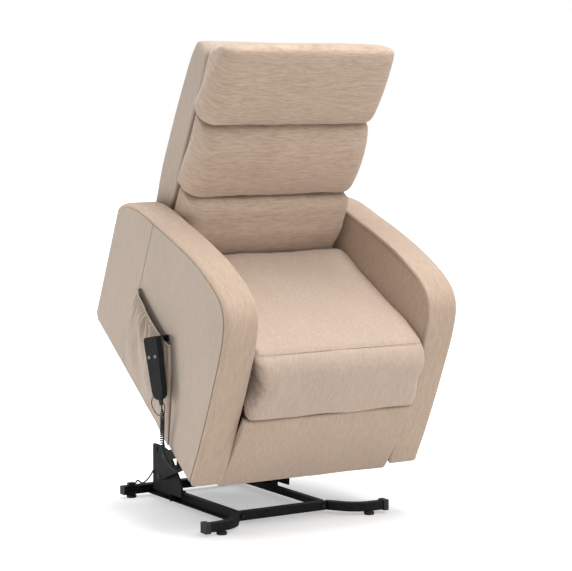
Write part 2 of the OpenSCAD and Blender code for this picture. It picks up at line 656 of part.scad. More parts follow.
// Front of the hollow behind the pouch's front layer
function pocket_in_x(i, u) = max(pocket_back + face_gap, pocket_x(i, u) - pocket_wall);
function pocket_ring(a, b, fronts, back) = concat(
    [for (k = [0 : pocket_cols]) let (u = k / pocket_cols)
        [-fronts[k], a[0] + (b[0] - a[0]) * u, a[1] + (b[1] - a[1]) * u]],
    [for (k = [4 : -1 : 0]) let (u = k / 4) [-back, a[0] + (b[0] - a[0]) * u, a[1] + (b[1] - a[1]) * u]]
);
function outer_ring(i) = pocket_ring(pocket_outline[i][0], pocket_outline[i][1],
    [for (k = [0 : pocket_cols]) pocket_x(i, k / pocket_cols)], 0);
function inner_ring(i) = let (a = pocket_outline[i][0], b = pocket_outline[i][1], e = pocket_end_share)
    pocket_ring(a + (b - a) * e, b + (a - b) * e,
        [for (k = [0 : pocket_cols]) pocket_in_x(i, e + (1 - 2 * e) * k / pocket_cols)], pocket_back);
// One skin: up the hollow from its floor, over the mouth and down the outside
module side_pocket() color(panel_beige) at_chair() translate([-chair_w / 2 - face_gap, 0, 0])
    loft(concat(
        [for (i = [pocket_rows - 2 : -1 : 0]) inner_ring(i)],
        [for (i = [0 : pocket_rows - 1]) outer_ring(i)]
    ));

// Recline hinges between the seat frame and the back
hinge_t = 6;
hinge_x = 236;
hinge_r = 15;
shell_face_y = recline_y + 0.1452 * back_h;
module recline_brackets() color(steel_black) at_chair() for (side = [-1, 1]) mirrored(side) difference() {
    union() {
        across(recline_pivot, hinge_r, hinge_x, hinge_x + hinge_t);
        translate([hinge_x, seat_y1, seat_base_z])
            cube([hinge_t, recline_y + hinge_r - seat_y1, recline_z - seat_base_z]);
    }
    across(recline_pivot, pin_r + run_gap, hinge_x - cut, hinge_x + hinge_t + cut);
}
// Back shell: section from the side, and its outline from the front
shell_rear_shares = [
    [0.387, 0.9419], [0.3954, 0.8431], [0.3743, 0.6002], [0.3322, 0.348], [0.2951, 0.197],
    [0.2647, 0.0806], [0.2352, 0.003]
];
shell_front_shares = [
    [0.1458, -0.0097], [0.1458, 0.0966], [0.1483, 0.213], [0.166, 0.3303], [0.1871, 0.4095],
    [0.2115, 0.5336], [0.2293, 0.6466], [0.2385, 0.7681], [0.2756, 0.9165], [0.3161, 0.9645],
    [0.3581, 0.9677]
];
shell_section = concat(
    open_curve(placed(shell_rear_shares, recline_pivot, back_h), 3),
    open_curve(placed(shell_front_shares, recline_pivot, back_h), 3)
);
shell_top_z = recline_z + 0.975 * back_h;
shell_low_z = recline_z - 0.0323 * back_h;
corner_r = 26;
module back_shell() color(fabric_beige) at_chair() intersection() {
    slab(shell_section, -back_w / 2, back_w / 2);
    translate([0, recline_y + back_h, 0]) rotate([90, 0, 0]) linear_extrude(back_h) polygon(concat(
        [[-back_w / 2, shell_low_z], [back_w / 2, shell_low_z]],
        [for (k = [0 : 8]) [back_w / 2, shell_top_z] + corner_r * [cos(k * 90 / 8) - 1, sin(k * 90 / 8) - 1]],
        [for (k = [8 : 16]) [-back_w / 2, shell_top_z] + corner_r * [cos(k * 90 / 8) + 1, sin(k * 90 / 8) - 1]]
    ));
}
frame_x = hinge_x - plane_gap - hinge_t;
// Height and length of the back frame's side plates at the shell, and its cross bar
back_plate_h = 38;
back_plate_l = 30;
back_bar_y = 28;
back_bar_d = 22;
back_bar_h = 18;
module back_frame() color(steel_black) at_chair() {
    for (side = [-1, 1]) mirrored(side) difference() {
        union() {
            across(recline_pivot, hinge_r, frame_x, frame_x + hinge_t);
            slab([[recline_y, recline_z - hinge_r], [shell_face_y, recline_z - plane_gap],
                [shell_face_y, recline_z + back_plate_h],
                [shell_face_y - back_plate_l, recline_z + back_plate_h],
                [recline_y, recline_z + hinge_r]], frame_x, frame_x + hinge_t);
        }
        across(recline_pivot, pin_r, frame_x - cut, frame_x + hinge_t + cut);
    }
    for (side = [-1, 1]) mirrored(side) {
        across(recline_pivot, pin_r, frame_x, hinge_x + hinge_t + plane_gap);
        head_x = hinge_x + hinge_t + face_gap;
        across(recline_pivot, pin_head_r, head_x, head_x + pin_head_t);
    }
    translate([-frame_x, recline_y + back_bar_y, recline_z + plane_gap])
        cube([2 * frame_x, back_bar_d, back_bar_h]);
}

// Back cushions, from the top: sections in the chair frame
head_section_shares = [
    [0.0806, 0.7113], [0.0516, 0.7677], [0.0645, 0.8645], [0.0871, 0.9839], [0.1081, 1.0726],
    [0.1387, 1.0935], [0.1806, 1.0839], [0.2339, 1.0452], [0.279, 0.9919], [0.2681, 0.9032],
    [0.2377, 0.8065], [0.23, 0.7274], [0.1613, 0.7048]
];
head_section = closed_curve(placed(head_section_shares, recline_pivot, back_h), 2);
middle_section_shares = [
    [0.0871, 0.6903], [0.0355, 0.6323], [0.0048, 0.5484], [-0.0032, 0.4484], [0.0113, 0.371],
    [0.0548, 0.3452], [0.1097, 0.3435], [0.1619, 0.3394], [0.1821, 0.4097], [0.2068, 0.5339],
    [0.2245, 0.6468], [0.2258, 0.6961], [0.1548, 0.7032]
];
middle_section = closed_curve(placed(middle_section_shares, recline_pivot, back_h), 2);
lumbar_section_shares = [
    [-0.0097, 0.3419], [-0.0403, 0.3097], [-0.0565, 0.2532], [-0.071, 0.1903], [-0.0645, 0.1323],
    [-0.0548, 0.0968], [-0.05, 0.0645], [-0.0435, 0.0258], [-0.029, 0.0306], [-0.0161, 0.0516],
    [0.0097, 0.0653], [0.0806, 0.0645], [0.129, 0.0661], [0.1426, 0.0871], [0.1432, 0.1516],
    [0.1458, 0.2161], [0.1539, 0.2774], [0.1597, 0.3226], [0.1097, 0.3397], [0.0548, 0.3419]
];
lumbar_section = closed_curve(placed(lumbar_section_shares, recline_pivot, back_h), 2);
// How far each back cushion stands out past the sides of the shell
head_out = 17;
middle_out = 12;
lumbar_out = 5;
module back_cushion(section, out) color(fabric_beige) at_chair()
    cushion(section, back_w / 2 + out, back_draw_shares);
module head_cushion() back_cushion(head_section, head_out);
module middle_cushion() back_cushion(middle_section, middle_out);
module lumbar_cushion() back_cushion(lumbar_section, lumbar_out);

// Footrest: two parallel links a side carry an upright carrier, and a flip link turns the board
foot_pin_r = 4;
foot_link_w = 18;
flip_w = 12;
flip_eye_r = 8;
foot_t = 5;
// Step between the planes of the footrest's links
foot_step = 3;
// Head of a footrest pin, and how far a plain end stands out
foot_head_r = 6.5;
foot_head_t = 1.6;
foot_pin_out = 1;
link_offset = [46, -14];
rear_link_top = front_link_top + link_offset;
front_link_low = front_link_top - [0, foot_link_l];
rear_link_low = rear_link_top - [0, foot_link_l];
board_hinge = [48, 188];
flip_offset = [19, 23];
flip_low = front_link_low + flip_offset;
flip_high = board_hinge + flip_offset;
carrier_x0 = plate_x1 + 2 * plane_gap;
link_x0 = carrier_x0 + foot_t + foot_step;
flip_x0 = link_x0 + foot_t + foot_step;
bracket_x0 = flip_x0 + foot_t + foot_step;
module foot_hole(p, x0) across(p, foot_pin_r + run_gap, x0 - cut, x0 + foot_t + cut);
module footrest_front_links() color(steel_black) at_chair() for (side = [-1, 1]) mirrored(side) {
    difference() {
        union() {
            bar(front_link_top, front_link_low, foot_link_w, link_x0, link_x0 + foot_t);
            strip(front_link_low, flip_low, flip_w, link_x0, link_x0 + foot_t);
            across(flip_low, flip_eye_r, link_x0, link_x0 + foot_t);
        }
        foot_hole(front_link_low, link_x0);
    }
    across(front_link_top, foot_pin_r - run_gap, plate_x0, link_x0);
    across(front_link_top, foot_head_r, link_x0 + foot_t, link_x0 + foot_t + foot_head_t);
    across(flip_low, foot_pin_r, link_x0 + foot_t, flip_x0 + foot_t + foot_pin_out);
}
module footrest_rear_links() color(steel_black) at_chair() for (side = [-1, 1]) mirrored(side) {
    difference() {
        bar(rear_link_top, rear_link_low, foot_link_w, link_x0, link_x0 + foot_t);
        foot_hole(rear_link_low, link_x0);
    }
    across(rear_link_top, foot_pin_r - run_gap, plate_x0, link_x0);
    across(rear_link_top, foot_head_r, link_x0 + foot_t, link_x0 + foot_t + foot_head_t);
}
carrier_bar = [62, 112];
carrier_w = 14;
carrier_bar_r = 8;
module footrest_carrier() color(steel_black) at_chair() {
    for (side = [-1, 1]) mirrored(side) {
        difference() {
            union() {
                for (p = [front_link_low, rear_link_low, board_hinge])
                    across(p, foot_link_w / 2, carrier_x0, carrier_x0 + foot_t);
                strip(front_link_low, board_hinge, carrier_w, carrier_x0, carrier_x0 + foot_t);
                strip(front_link_low, rear_link_low, carrier_w, carrier_x0, carrier_x0 + foot_t);
            }
            foot_hole(board_hinge, carrier_x0);
        }
        for (p = [front_link_low, rear_link_low])
            across(p, foot_pin_r, carrier_x0 + foot_t, link_x0 + foot_t + foot_pin_out);
    }
    across(carrier_bar, carrier_bar_r, -carrier_x0 - foot_t, carrier_x0 + foot_t);
}
module flip_links() color(steel_black) at_chair() for (side = [-1, 1]) mirrored(side) difference() {
    union() {
        across(flip_low, flip_eye_r, flip_x0, flip_x0 + foot_t);
        across(flip_high, flip_eye_r, flip_x0, flip_x0 + foot_t);
        strip(flip_low, flip_high, flip_w, flip_x0, flip_x0 + foot_t);
    }
    foot_hole(flip_low, flip_x0);
    foot_hole(flip_high, flip_x0);
}
pad_face_y = 9;
pad_depth = 22;
panel_top_z = 216;
panel_low_z = -26;
foot_board_t = 12;
foot_board_y = pad_face_y + pad_depth + face_gap;
board_inset = 6;
bracket_w = 16;
bracket_drop = 66;
bracket_edge = 8;
// Clearance of the board's notches round the carrier, and the wood left in front of them
notch_gap = 2;
notch_floor = 4;
notch_drop = 36;
module footrest_board() {
    color(wood_pale) at_chair() difference() {
        translate([-soft_x + board_inset, foot_board_y, panel_low_z + board_inset])
            cube([2 * (soft_x - board_inset), foot_board_t, panel_top_z - panel_low_z - 2 * board_inset]);
        for (side = [-1, 1]) mirrored(side)
            translate([carrier_x0 - notch_gap, foot_board_y + notch_floor, board_hinge[1] - notch_drop])
                cube([foot_t + 2 * notch_gap, foot_board_t, notch_drop + foot_link_w / 2 + notch_gap]);
    }
    color(steel_black) at_chair() for (side = [-1, 1]) mirrored(side) {
        bar(board_hinge, flip_high, bracket_w, bracket_x0, bracket_x0 + foot_t);
        back_y = foot_board_y + foot_board_t;
        slab([[back_y, board_hinge[1] - bracket_drop], [board_hinge[0], board_hinge[1] - bracket_drop],
            [board_hinge[0] + bracket_edge, board_hinge[1]], [back_y, board_hinge[1] + bracket_edge]],
            bracket_x0, bracket_x0 + foot_t);
        across(board_hinge, foot_pin_r, carrier_x0 - foot_pin_out, bracket_x0);
        across(flip_high, foot_pin_r, flip_x0 - foot_pin_out, bracket_x0);
    }
}
// Section of the padded footrest front in the chair frame
pad_h = panel_top_z - panel_low_z;
pad_shares = [
    [0.09, 0.01], [0, 0.2], [-0.03, 0.5], [0, 0.8], [0.18, 0.985],
    [0.5, 1], [0.95, 0.97], [1, 0.5], [0.95, 0.03], [0.5, 0]
];
pad_section = closed_curve([for (p = pad_shares)
    [pad_face_y + p[0] * pad_depth, panel_low_z + p[1] * pad_h]], 2);
module footrest_pad() color(fabric_beige) at_chair() cushion(pad_section, soft_x, pad_draw_shares);

// Handset, hung by its hook on the mouth of the pocket
handset_top = [-437, 23, 557];
handset_turn = -76;
handset_lean = 11;
hook_t = 4;
hook_l = 30;
hook_drop = 18;
hook_w = 18;
seam_z = 46;
front_share = 0.55;
// Draws on the handset: X across its face, Y into its back, Z up its length from its foot
module on_handset() at_base() translate(handset_top) rotate([0, 0, handset_turn]) rotate([0, -handset_lean, 0])
    translate([0, 0, -handset_l]) children();
// Cut corner of the handset's outline, and its rounding at the front and the back
face_nick = 4;
front_round = 3;
back_round = 4;
handset_face = [
    [-handset_w * 0.16, 0], [handset_w * 0.16, 0], [handset_w * 0.34, handset_l * 0.035],
    [handset_w * 0.4, handset_l * 0.128], [handset_w / 2, handset_l - face_nick],
    [handset_w / 2 - face_nick, handset_l], [-handset_w / 2 + face_nick, handset_l],
    [-handset_w / 2, handset_l - face_nick], [-handset_w * 0.4, handset_l * 0.128],
    [-handset_w * 0.34, handset_l * 0.035]
];
module handset_slab(y0, y1, inset) translate([0, y1, 0]) rotate([90, 0, 0]) linear_extrude(y1 - y0)
    polygon(grown(handset_face, [0, handset_l / 2], 1 - 2 * inset / handset_l));
button_z = handset_l * 0.68;
button_travel = 1;
button_gap = 0.3;
button_x = 12;
button_h = 4.8;
button_stand = 0.4;
button_well = 5;
seam_depth = 1.8;
seam_h = 1;
module handset_front() color(plastic_black) on_handset() difference() {
    hull() {
        handset_slab(0, front_round / 3, front_round);
        handset_slab(front_round, handset_t * front_share, 0);
    }
    for (side = [-1, 1]) translate([side * button_x, -cut, button_z]) rotate([-90, 0, 0])
        cylinder(r = button_r + button_gap, h = button_well + cut);
    translate([-handset_w / 2 - cut, -cut, seam_z]) cube([handset_w + 2 * cut, seam_depth, seam_h]);
}
module handset_back() color(plastic_black) on_handset() {
    hull() {
        handset_slab(handset_t * front_share, handset_t - back_round, 0);
        handset_slab(handset_t - back_round, handset_t, back_round);
    }
    handset_hook();
}
// The hook at the top of the handset's back
module handset_hook() {
    translate([handset_w / 2 - hook_w - face_nick, handset_t - cut, handset_l - hook_t])
        cube([hook_w, hook_l + cut, hook_t]);
    translate([handset_w / 2 - hook_w - face_nick, handset_t + hook_l - hook_t, handset_l - hook_drop])
        cube([hook_w, hook_t, hook_drop - hook_t / 2]);
}
module handset_relief() color(rubber_black) on_handset()
    translate([0, handset_t / 2, -relief_l]) cylinder(r1 = relief_r, r2 = relief_top_r, h = relief_l);
module button(side) color(plastic_grey) on_handset()
    translate([side * button_x, -button_travel - button_stand, button_z])
        rotate([-90, 0, 0]) cylinder(r = button_r, h = button_h);
relief_r = 5;
relief_top_r = 7;
relief_l = 16;

// Curly cord from the handset's foot to a gland under the left arm
cord_route = [
    [-418.7, -9.3, 372.5], [-418, -11.5, 353], [-415, -7, 332], [-410, 3, 306], [-407, 10, 280],
    [-404, 11, 256], [-400.5, 2, 230], [-393, -7, 209], [-380, -8, 194], [-364, 2, 189],
    [-352, 16, 199], [-347, 28, 219], [-345.5, 32, 232]
];
curl_count = 40;
curl_rings = 8;
curl_sides = 6;
curl_r = (curl_d - lead_d) / 2;
line_steps = 10;
cord_line = open_curve(cord_route, line_steps);
function run_lengths(p, i = 0, s = 0) = i >= len(p) - 1 ? [s] :
    concat([s], run_lengths(p, i + 1, s + norm(p[i + 1] - p[i])));
cord_runs = run_lengths(cord_line);
cord_l = cord_runs[len(cord_runs) - 1];
// Point and direction on the route at a distance from its start
function run_index(s, lo, hi) = hi - lo <= 1 ? lo :
    let (mid = floor((lo + hi) / 2)) cord_runs[mid] > s ? run_index(s, lo, mid) : run_index(s, mid, hi);
function on_line(s) = let (
        i = run_index(s, 0, len(cord_line) - 1),
        f = (s - cord_runs[i]) / (cord_runs[i + 1] - cord_runs[i])
    ) cord_line[i] + f * (cord_line[i + 1] - cord_line[i]);
// Length over which the route's direction is taken
line_probe = 3;
function line_dir(s) =
    let (d = on_line(min(s + line_probe, cord_l)) - on_line(max(s - line_probe, 0))) d / norm(d);
// Side direction that stays steady along the route
function side_dir(t) = let (v = cross(t, [0.3, 0.95, 0.1])) v / norm(v);
// Centre of the lead at a curl's turn, with straight ends
curl_s0 = lead_d * 2;
curl_s1 = cord_l - lead_d * 2.5;
ramp_turns = 0.75;
function curl_point(k) = let (
        turn = k / curl_rings,
        s = curl_s0 + (curl_s1 - curl_s0) * turn / curl_count,
        t = line_dir(s),
        a = side_dir(t),
        b = cross(t, a),
        r = curl_r * min(1, turn / ramp_turns, (curl_count - turn) / ramp_turns)
    ) on_line(s) + r * (cos(360 * turn) * a + sin(360 * turn) * b);
curl_points = concat(
    [on_line(0), on_line(lead_d)],
    [for (k = [0 : curl_count * curl_rings]) curl_point(k)],
    [on_line(cord_l - lead_d), on_line(cord_l)]
);
// Least gap between the lead and itself a curl away
curl_gap = min([for (k = [curl_rings : len(curl_points) - 1 - curl_rings], j = [-2 : 2])
    norm(curl_points[k] - curl_points[min(k + curl_rings + j, len(curl_points) - 1)])]) - lead_d;
echo(curl_gap = curl_gap, cord_length = cord_l);
// A round tube along points, its rings square to the run
function tube_dir(p, i) = let (d = p[min(i + 1, len(p) - 1)] - p[max(i - 1, 0)]) d / norm(d);
module tube_along(p, d, sides, steady) loft([for (i = [0 : len(p) - 1])
    let (t = tube_dir(p, i), v = cross(t, steady), a = v / norm(v), b = cross(t, a))
        [for (j = [0 : sides - 1]) p[i] + d / 2 * (cos(360 * j / sides) * a + sin(360 * j / sides) * b)]]);
module curly_lead() color(rubber_black) at_base() {
    n = len(curl_points);
    loft([for (i = [0 : n - 1])
        let (
            t = tube_dir(curl_points, i),
            run = (i - 2) / (curl_rings * curl_count),
            s = i < 2 ? 0 : i > n - 3 ? cord_l : curl_s0 + (curl_s1 - curl_s0) * run,
            v = cross(t, line_dir(s) + [0.001, 0.002, 0]),
            a = (norm(v) < 0.12 ? side_dir(t) : v / norm(v)),
            b = cross(t, a)
        )
        [for (j = [0 : curl_sides - 1])
            curl_points[i] + lead_d / 2 * (cos(360 * j / curl_sides) * a + sin(360 * j / curl_sides) * b)]]);
}
gland_r = 9;
gland_h = 13.3;
// Radial room round the lead in the gland's mouth
gland_gap = 1;
module cord_gland() color(plastic_black) at_base() translate(cord_route[len(cord_route) - 1])
    rotate([tilt, 0, 0]) difference() {
        cylinder(r = gland_r, h = gland_h);
        translate([0, 0, -cut]) cylinder(r = lead_d / 2 + gland_gap, h = lead_d + cut);
    }
loop_route = [
    [-424.6, 14.7, 396.3], [-426.5, 18.8, 393.5], [-432, 20.5, 384], [-434, 17, 370], [-433, 4, 356],
    [-431, -13, 347],
    [-427, -26, 346], [-422, -31, 355], [-418, -27, 366], [-416.2, -19, 376.2], [-417.1, -14.4, 377.4]
];
loop_d = 2.4;
module handset_loop() color(rubber_black) at_base() tube_along(open_curve(loop_route, 3), loop_d, 8, [1, 0, 0]);

// Lead along the rear tube, held by a tie, up to the left upright
power_d = 4.5;
power_route = [
    [-212, 545, 39.5], [-206, 545, 46], [-200, 546, 50], [-196, 540, 46], [-193, 528, 44], [-192, 505, 56],
    [-191.5, 480, 76], [-191, 464.5, 92]
];
module power_lead() color(rubber_black) at_base() tube_along(open_curve(power_route, 3), power_d, 8, [1, 0, 0]);
// Place of the connector from the rear tube's left end and from its front face
connector_side = 17;
connector_inset = 6;
connector_size = [20, 14, 9];
module lead_connector() color(plastic_black) at_base()
    translate([connector_side - rear_tube_l / 2, rear_tube_y + connector_inset, tube_top]) cube(connector_size);

rear_cross_tube();
front_cross_tube();
side_rail(-1);  // side_rail_left
side_rail(1);  // side_rail_right
outrigger(-1);  // outrigger_left
outrigger(1);  // outrigger_right
base_end_caps();
rubber_feet();
upright(-1);  // upright_left
upright(1);  // upright_right
actuator_bracket();
base_pivot_pins();
base_bolts();
power_lead();
lead_connector();
lift_link(-1);  // lift_link_left
lift_link(1);  // lift_link_right
torque_tube();
tilt_link(-1);  // tilt_link_left
tilt_link(1);  // tilt_link_right
motor_gearbox();
motor_can();
actuator_tube();
actuator_rod();
rod_end();
mechanism_plate(-1);  // mechanism_plate_left
mechanism_plate(1);  // mechanism_plate_right
chair_pivot_pins();
drive_tube();
seat_frame();
seat_springs();
seat_cushion();
arm(-1);  // arm_left
arm(1);  // arm_right
side_panel(-1);  // side_panel_left
side_panel(1);  // side_panel_right
side_pocket();
rear_panel();
recline_brackets();
back_frame();
back_shell();
head_cushion();
middle_cushion();
lumbar_cushion();
footrest_front_links();
footrest_rear_links();
footrest_carrier();
flip_links();
footrest_board();
footrest_pad();
cord_gland();
handset_front();
handset_back();
handset_relief();
button(-1);  // handset_buttons_up
button(1);  // handset_buttons_down
curly_lead();  // handset_cord
handset_loop();
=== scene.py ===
import bpy
import bmesh
import json
import math
from mathutils import Matrix, Vector, noise


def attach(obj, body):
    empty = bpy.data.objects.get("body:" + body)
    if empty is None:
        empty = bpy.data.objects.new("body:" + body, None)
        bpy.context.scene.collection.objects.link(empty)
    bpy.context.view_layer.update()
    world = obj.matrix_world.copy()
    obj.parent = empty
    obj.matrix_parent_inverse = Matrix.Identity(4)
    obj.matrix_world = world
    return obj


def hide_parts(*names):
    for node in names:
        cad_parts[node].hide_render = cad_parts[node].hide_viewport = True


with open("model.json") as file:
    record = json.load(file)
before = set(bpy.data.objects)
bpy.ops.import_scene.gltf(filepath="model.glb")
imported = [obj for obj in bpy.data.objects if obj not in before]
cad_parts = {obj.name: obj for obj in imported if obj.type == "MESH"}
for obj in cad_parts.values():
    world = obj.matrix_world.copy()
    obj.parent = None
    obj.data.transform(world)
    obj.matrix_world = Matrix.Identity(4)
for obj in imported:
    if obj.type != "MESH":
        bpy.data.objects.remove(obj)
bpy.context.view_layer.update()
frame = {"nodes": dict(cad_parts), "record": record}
NODES = frame["nodes"]

# Places in metres: the base frame's offsets, and the chair frame that is raised and tipped.
CX, CY = -0.031, 0.135803
TILT = math.radians(36.5)
CHAIR_AT = Vector((-CX, -0.096 - CY, 0.156))
CHAIR = Matrix.Translation(CHAIR_AT) @ Matrix.Rotation(TILT, 4, "X")
ARM_W, ARM_H, ARM_D = 0.103, 0.523, 0.778
HALF_W = 0.380
INNER_X = HALF_W - ARM_W


# Camera, fitted to the photograph: turn and dip in degrees, place in metres, lens in millimetres.
CAMERA_TURN, CAMERA_DIP, CAMERA_LENS = 32.2, 5.4, 122.7
CAMERA_AT = Vector((-2.9309 - CX, -4.6348 - CY, 1.1961))


def make_camera():
    turn, dip = math.radians(CAMERA_TURN), math.radians(CAMERA_DIP)
    back = Vector((-math.sin(turn) * math.cos(dip), -math.cos(turn) * math.cos(dip), math.sin(dip)))
    right = Vector((math.cos(turn), -math.sin(turn), 0))
    up = back.cross(right)
    data = bpy.data.cameras.new("camera")
    data.lens = CAMERA_LENS
    data.sensor_width = 36
    data.clip_end = 60
    cam = bpy.data.objects.new("camera", data)
    bpy.context.scene.collection.objects.link(cam)
    place = Matrix((right, up, back)).transposed().to_4x4()
    place.translation = CAMERA_AT
    cam.matrix_world = place
    bpy.context.scene.camera = cam


make_camera()


# Small tools for points, meshes and curves.
def spline_point(a, b, c, d, t):
    return [(2 * q + (r - p) * t + (2 * p - 5 * q + 4 * r - s) * t * t + (3 * q - p - 3 * r + s) * t ** 3) / 2
            for p, q, r, s in zip(a, b, c, d)]


def open_curve(p, n):
    last = len(p) - 1
    out = []
    for i in range(last):
        for k in range(n):
            out.append(spline_point(p[max(i - 1, 0)], p[i], p[i + 1], p[min(i + 2, last)], k / n))
    out.append(list(p[last]))
    return out


def closed_curve(p, n):
    m = len(p)
    return [spline_point(p[i - 1], p[i], p[(i + 1) % m], p[(i + 2) % m], k / n)
            for i in range(m) for k in range(n)]


def even_points(line, count):
    """Evenly spaced points round a closed line."""
    pts = [Vector(q) for q in line]
    pts.append(pts[0].copy())
    runs = [0.0]
    for a, b in zip(pts, pts[1:]):
        runs.append(runs[-1] + (b - a).length)
    total = runs[-1]
    out, i = [], 0
    for k in range(count):
        s = total * k / count
        while i < len(runs) - 2 and runs[i + 1] < s:
            i += 1
        f = (s - runs[i]) / max(runs[i + 1] - runs[i], 1e-9)
        out.append(pts[i].lerp(pts[i + 1], min(max(f, 0), 1)))
    return out


def link(obj):
    bpy.context.scene.collection.objects.link(obj)
    return obj


def clamped(value):
    return max(0.0, min(1.0, value))


def mesh_piece(name, verts, faces, place=None):
    data = bpy.data.meshes.new(name)
    data.from_pydata([tuple(v) for v in verts], [], faces)
    data.validate()
    bm = bmesh.new()
    bm.from_mesh(data)
    bmesh.ops.recalc_face_normals(bm, faces=bm.faces)
    bm.to_mesh(data)
    bm.free()
    for p in data.polygons:
        p.use_smooth = True
    obj = link(bpy.data.objects.new(name, data))
    if place is not None:
        obj.matrix_world = place
    return obj


def ring_loft(name, rings, place, cap=True, closed=False):
    """A surface through rings of equal count, capped at its ends or closed into a loop."""
    n, m = len(rings[0]), len(rings)
    verts = [v for r in rings for v in r]
    faces = []
    for i in range(m if closed else m - 1):
        k = (i + 1) % m
        for j in range(n):
            faces.append((i * n + j, i * n + (j + 1) % n, k * n + (j + 1) % n, k * n + j))
    if cap:
        for i in (0, m - 1):
            c = len(verts)
            verts.append(sum((Vector(v) for v in rings[i]), Vector()) / n)
            for j in range(n):
                faces.append((i * n + j, i * n + (j + 1) % n, c))
    return mesh_piece(name, verts, faces, place)


def tube(name, points, radius, place, body, mat, sides, closed=False):
    """A round tube along points, dressed and mounted on a body."""
    pts = [Vector(p) for p in points]
    rings = []
    normal = None
    count = len(pts)
    for i, p in enumerate(pts):
        a = pts[i - 1] if (i > 0 or closed) else p
        b = pts[(i + 1) % count] if (i < count - 1 or closed) else p
        t = (b - a).normalized()
        if normal is None:
            normal = t.orthogonal().normalized()
        normal = (normal - t * normal.dot(t)).normalized()
        side = t.cross(normal)
        rings.append([p + radius * (math.cos(2 * math.pi * k / sides) * normal
                                    + math.sin(2 * math.pi * k / sides) * side) for k in range(sides)])
    obj = ring_loft(name, rings, place, cap=not closed, closed=closed)
    dress(obj, mat)
    mount(obj, body)
    return obj


def mount(obj, body):
    """Bakes a piece's place into its mesh, so that its box is true, and lets it ride on a body."""
    obj.data.transform(obj.matrix_world)
    obj.matrix_world = Matrix()
    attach(obj, body)


def dress(obj, *mats):
    obj.data.materials.clear()
    for m in mats:
        obj.data.materials.append(m)


def apply_modifiers(obj):
    dg = bpy.context.evaluated_depsgraph_get()
    data = bpy.data.meshes.new_from_object(obj.evaluated_get(dg))
    old = obj.data
    obj.modifiers.clear()
    obj.data = data
    bpy.data.meshes.remove(old)


# Materials.
def srgb(*c):
    return [v / 12.92 if v <= 0.04045 else ((v + 0.055) / 1.055) ** 2.4 for v in c]


class Nodes:
    """Shorthand for building one material's node tree."""

    def __init__(self, name):
        self.mat = bpy.data.materials.new(name)
        self.mat.use_nodes = True
        self.tree = self.mat.node_tree
        self.out = self.tree.nodes["Material Output"]
        self.shader = self.tree.nodes["Principled BSDF"]

    def add(self, kind, **values):
        node = self.tree.nodes.new(kind)
        for key, value in values.items():
            setattr(node, key, value)
        return node

    def join(self, a, b):
        self.tree.links.new(a, b)

    def coords(self, turn=0.0, scale=(1, 1, 1)):
        where = self.add("ShaderNodeTexCoord")
        place = self.add("ShaderNodeMapping")
        place.inputs["Rotation"].default_value = (turn, 0, 0)
        self.join(where.outputs["Object"], place.inputs["Vector"])
        spread = self.add("ShaderNodeMapping")
        spread.inputs["Scale"].default_value = scale
        self.join(place.outputs["Vector"], spread.inputs["Vector"])
        return spread.outputs["Vector"]

    def noise(self, vector, scale, detail=2.0, rough=0.5):
        n = self.add("ShaderNodeTexNoise")
        n.inputs["Scale"].default_value = scale
        n.inputs["Detail"].default_value = detail
        n.inputs["Roughness"].default_value = rough
        self.join(vector, n.inputs["Vector"])
        return n.outputs["Fac"]

    def ramp(self, value, *stops):
        r = self.add("ShaderNodeValToRGB")
        el = r.color_ramp.elements
        while len(el) < len(stops):
            el.new(0.5)
        for e, (at, c) in zip(el, stops):
            e.position = at
            e.color = (*c, 1) if hasattr(c, "__len__") else (c, c, c, 1)
        self.join(value, r.inputs["Fac"])
        return r.outputs["Color"]

    def mix(self, a, b, factor, blend="MIX"):
        m = self.add("ShaderNodeMix", data_type="RGBA", blend_type=blend)
        for key, value in (("A", a), ("B", b), ("Factor", factor)):
            socket = next(s for s in m.inputs if s.name == key and s.enabled)
            if isinstance(value, bpy.types.NodeSocket):
                self.join(value, socket)
            else:
                socket.default_value = (*value, 1) if hasattr(value, "__len__") else value
        return next(s for s in m.outputs if s.enabled)

    def sum(self, a, b, op="ADD"):
        m = self.add("ShaderNodeMath", operation=op)
        for socket, value in zip(m.inputs, (a, b)):
            if isinstance(value, bpy.types.NodeSocket):
                self.join(value, socket)
            else:
                socket.default_value = value
        return m.outputs[0]

    def bump(self, height, strength, distance):
        b = self.add("ShaderNodeBump")
        b.inputs["Strength"].default_value = strength
        b.inputs["Distance"].default_value = distance
        self.join(height, b.inputs["Height"])
        self.join(b.outputs["Normal"], self.shader.inputs["Normal"])


# Shares of the slubs, of wider streaks and of fine threads in the cloth's tone, which add up to 1, and its relief.
SLUB_SHARE, WIDE_SHARE, FINE_SHARE = 0.52, 0.12, 0.36
WEAVE_STRENGTH, WEAVE_HEIGHT = 0.5, 0.0011


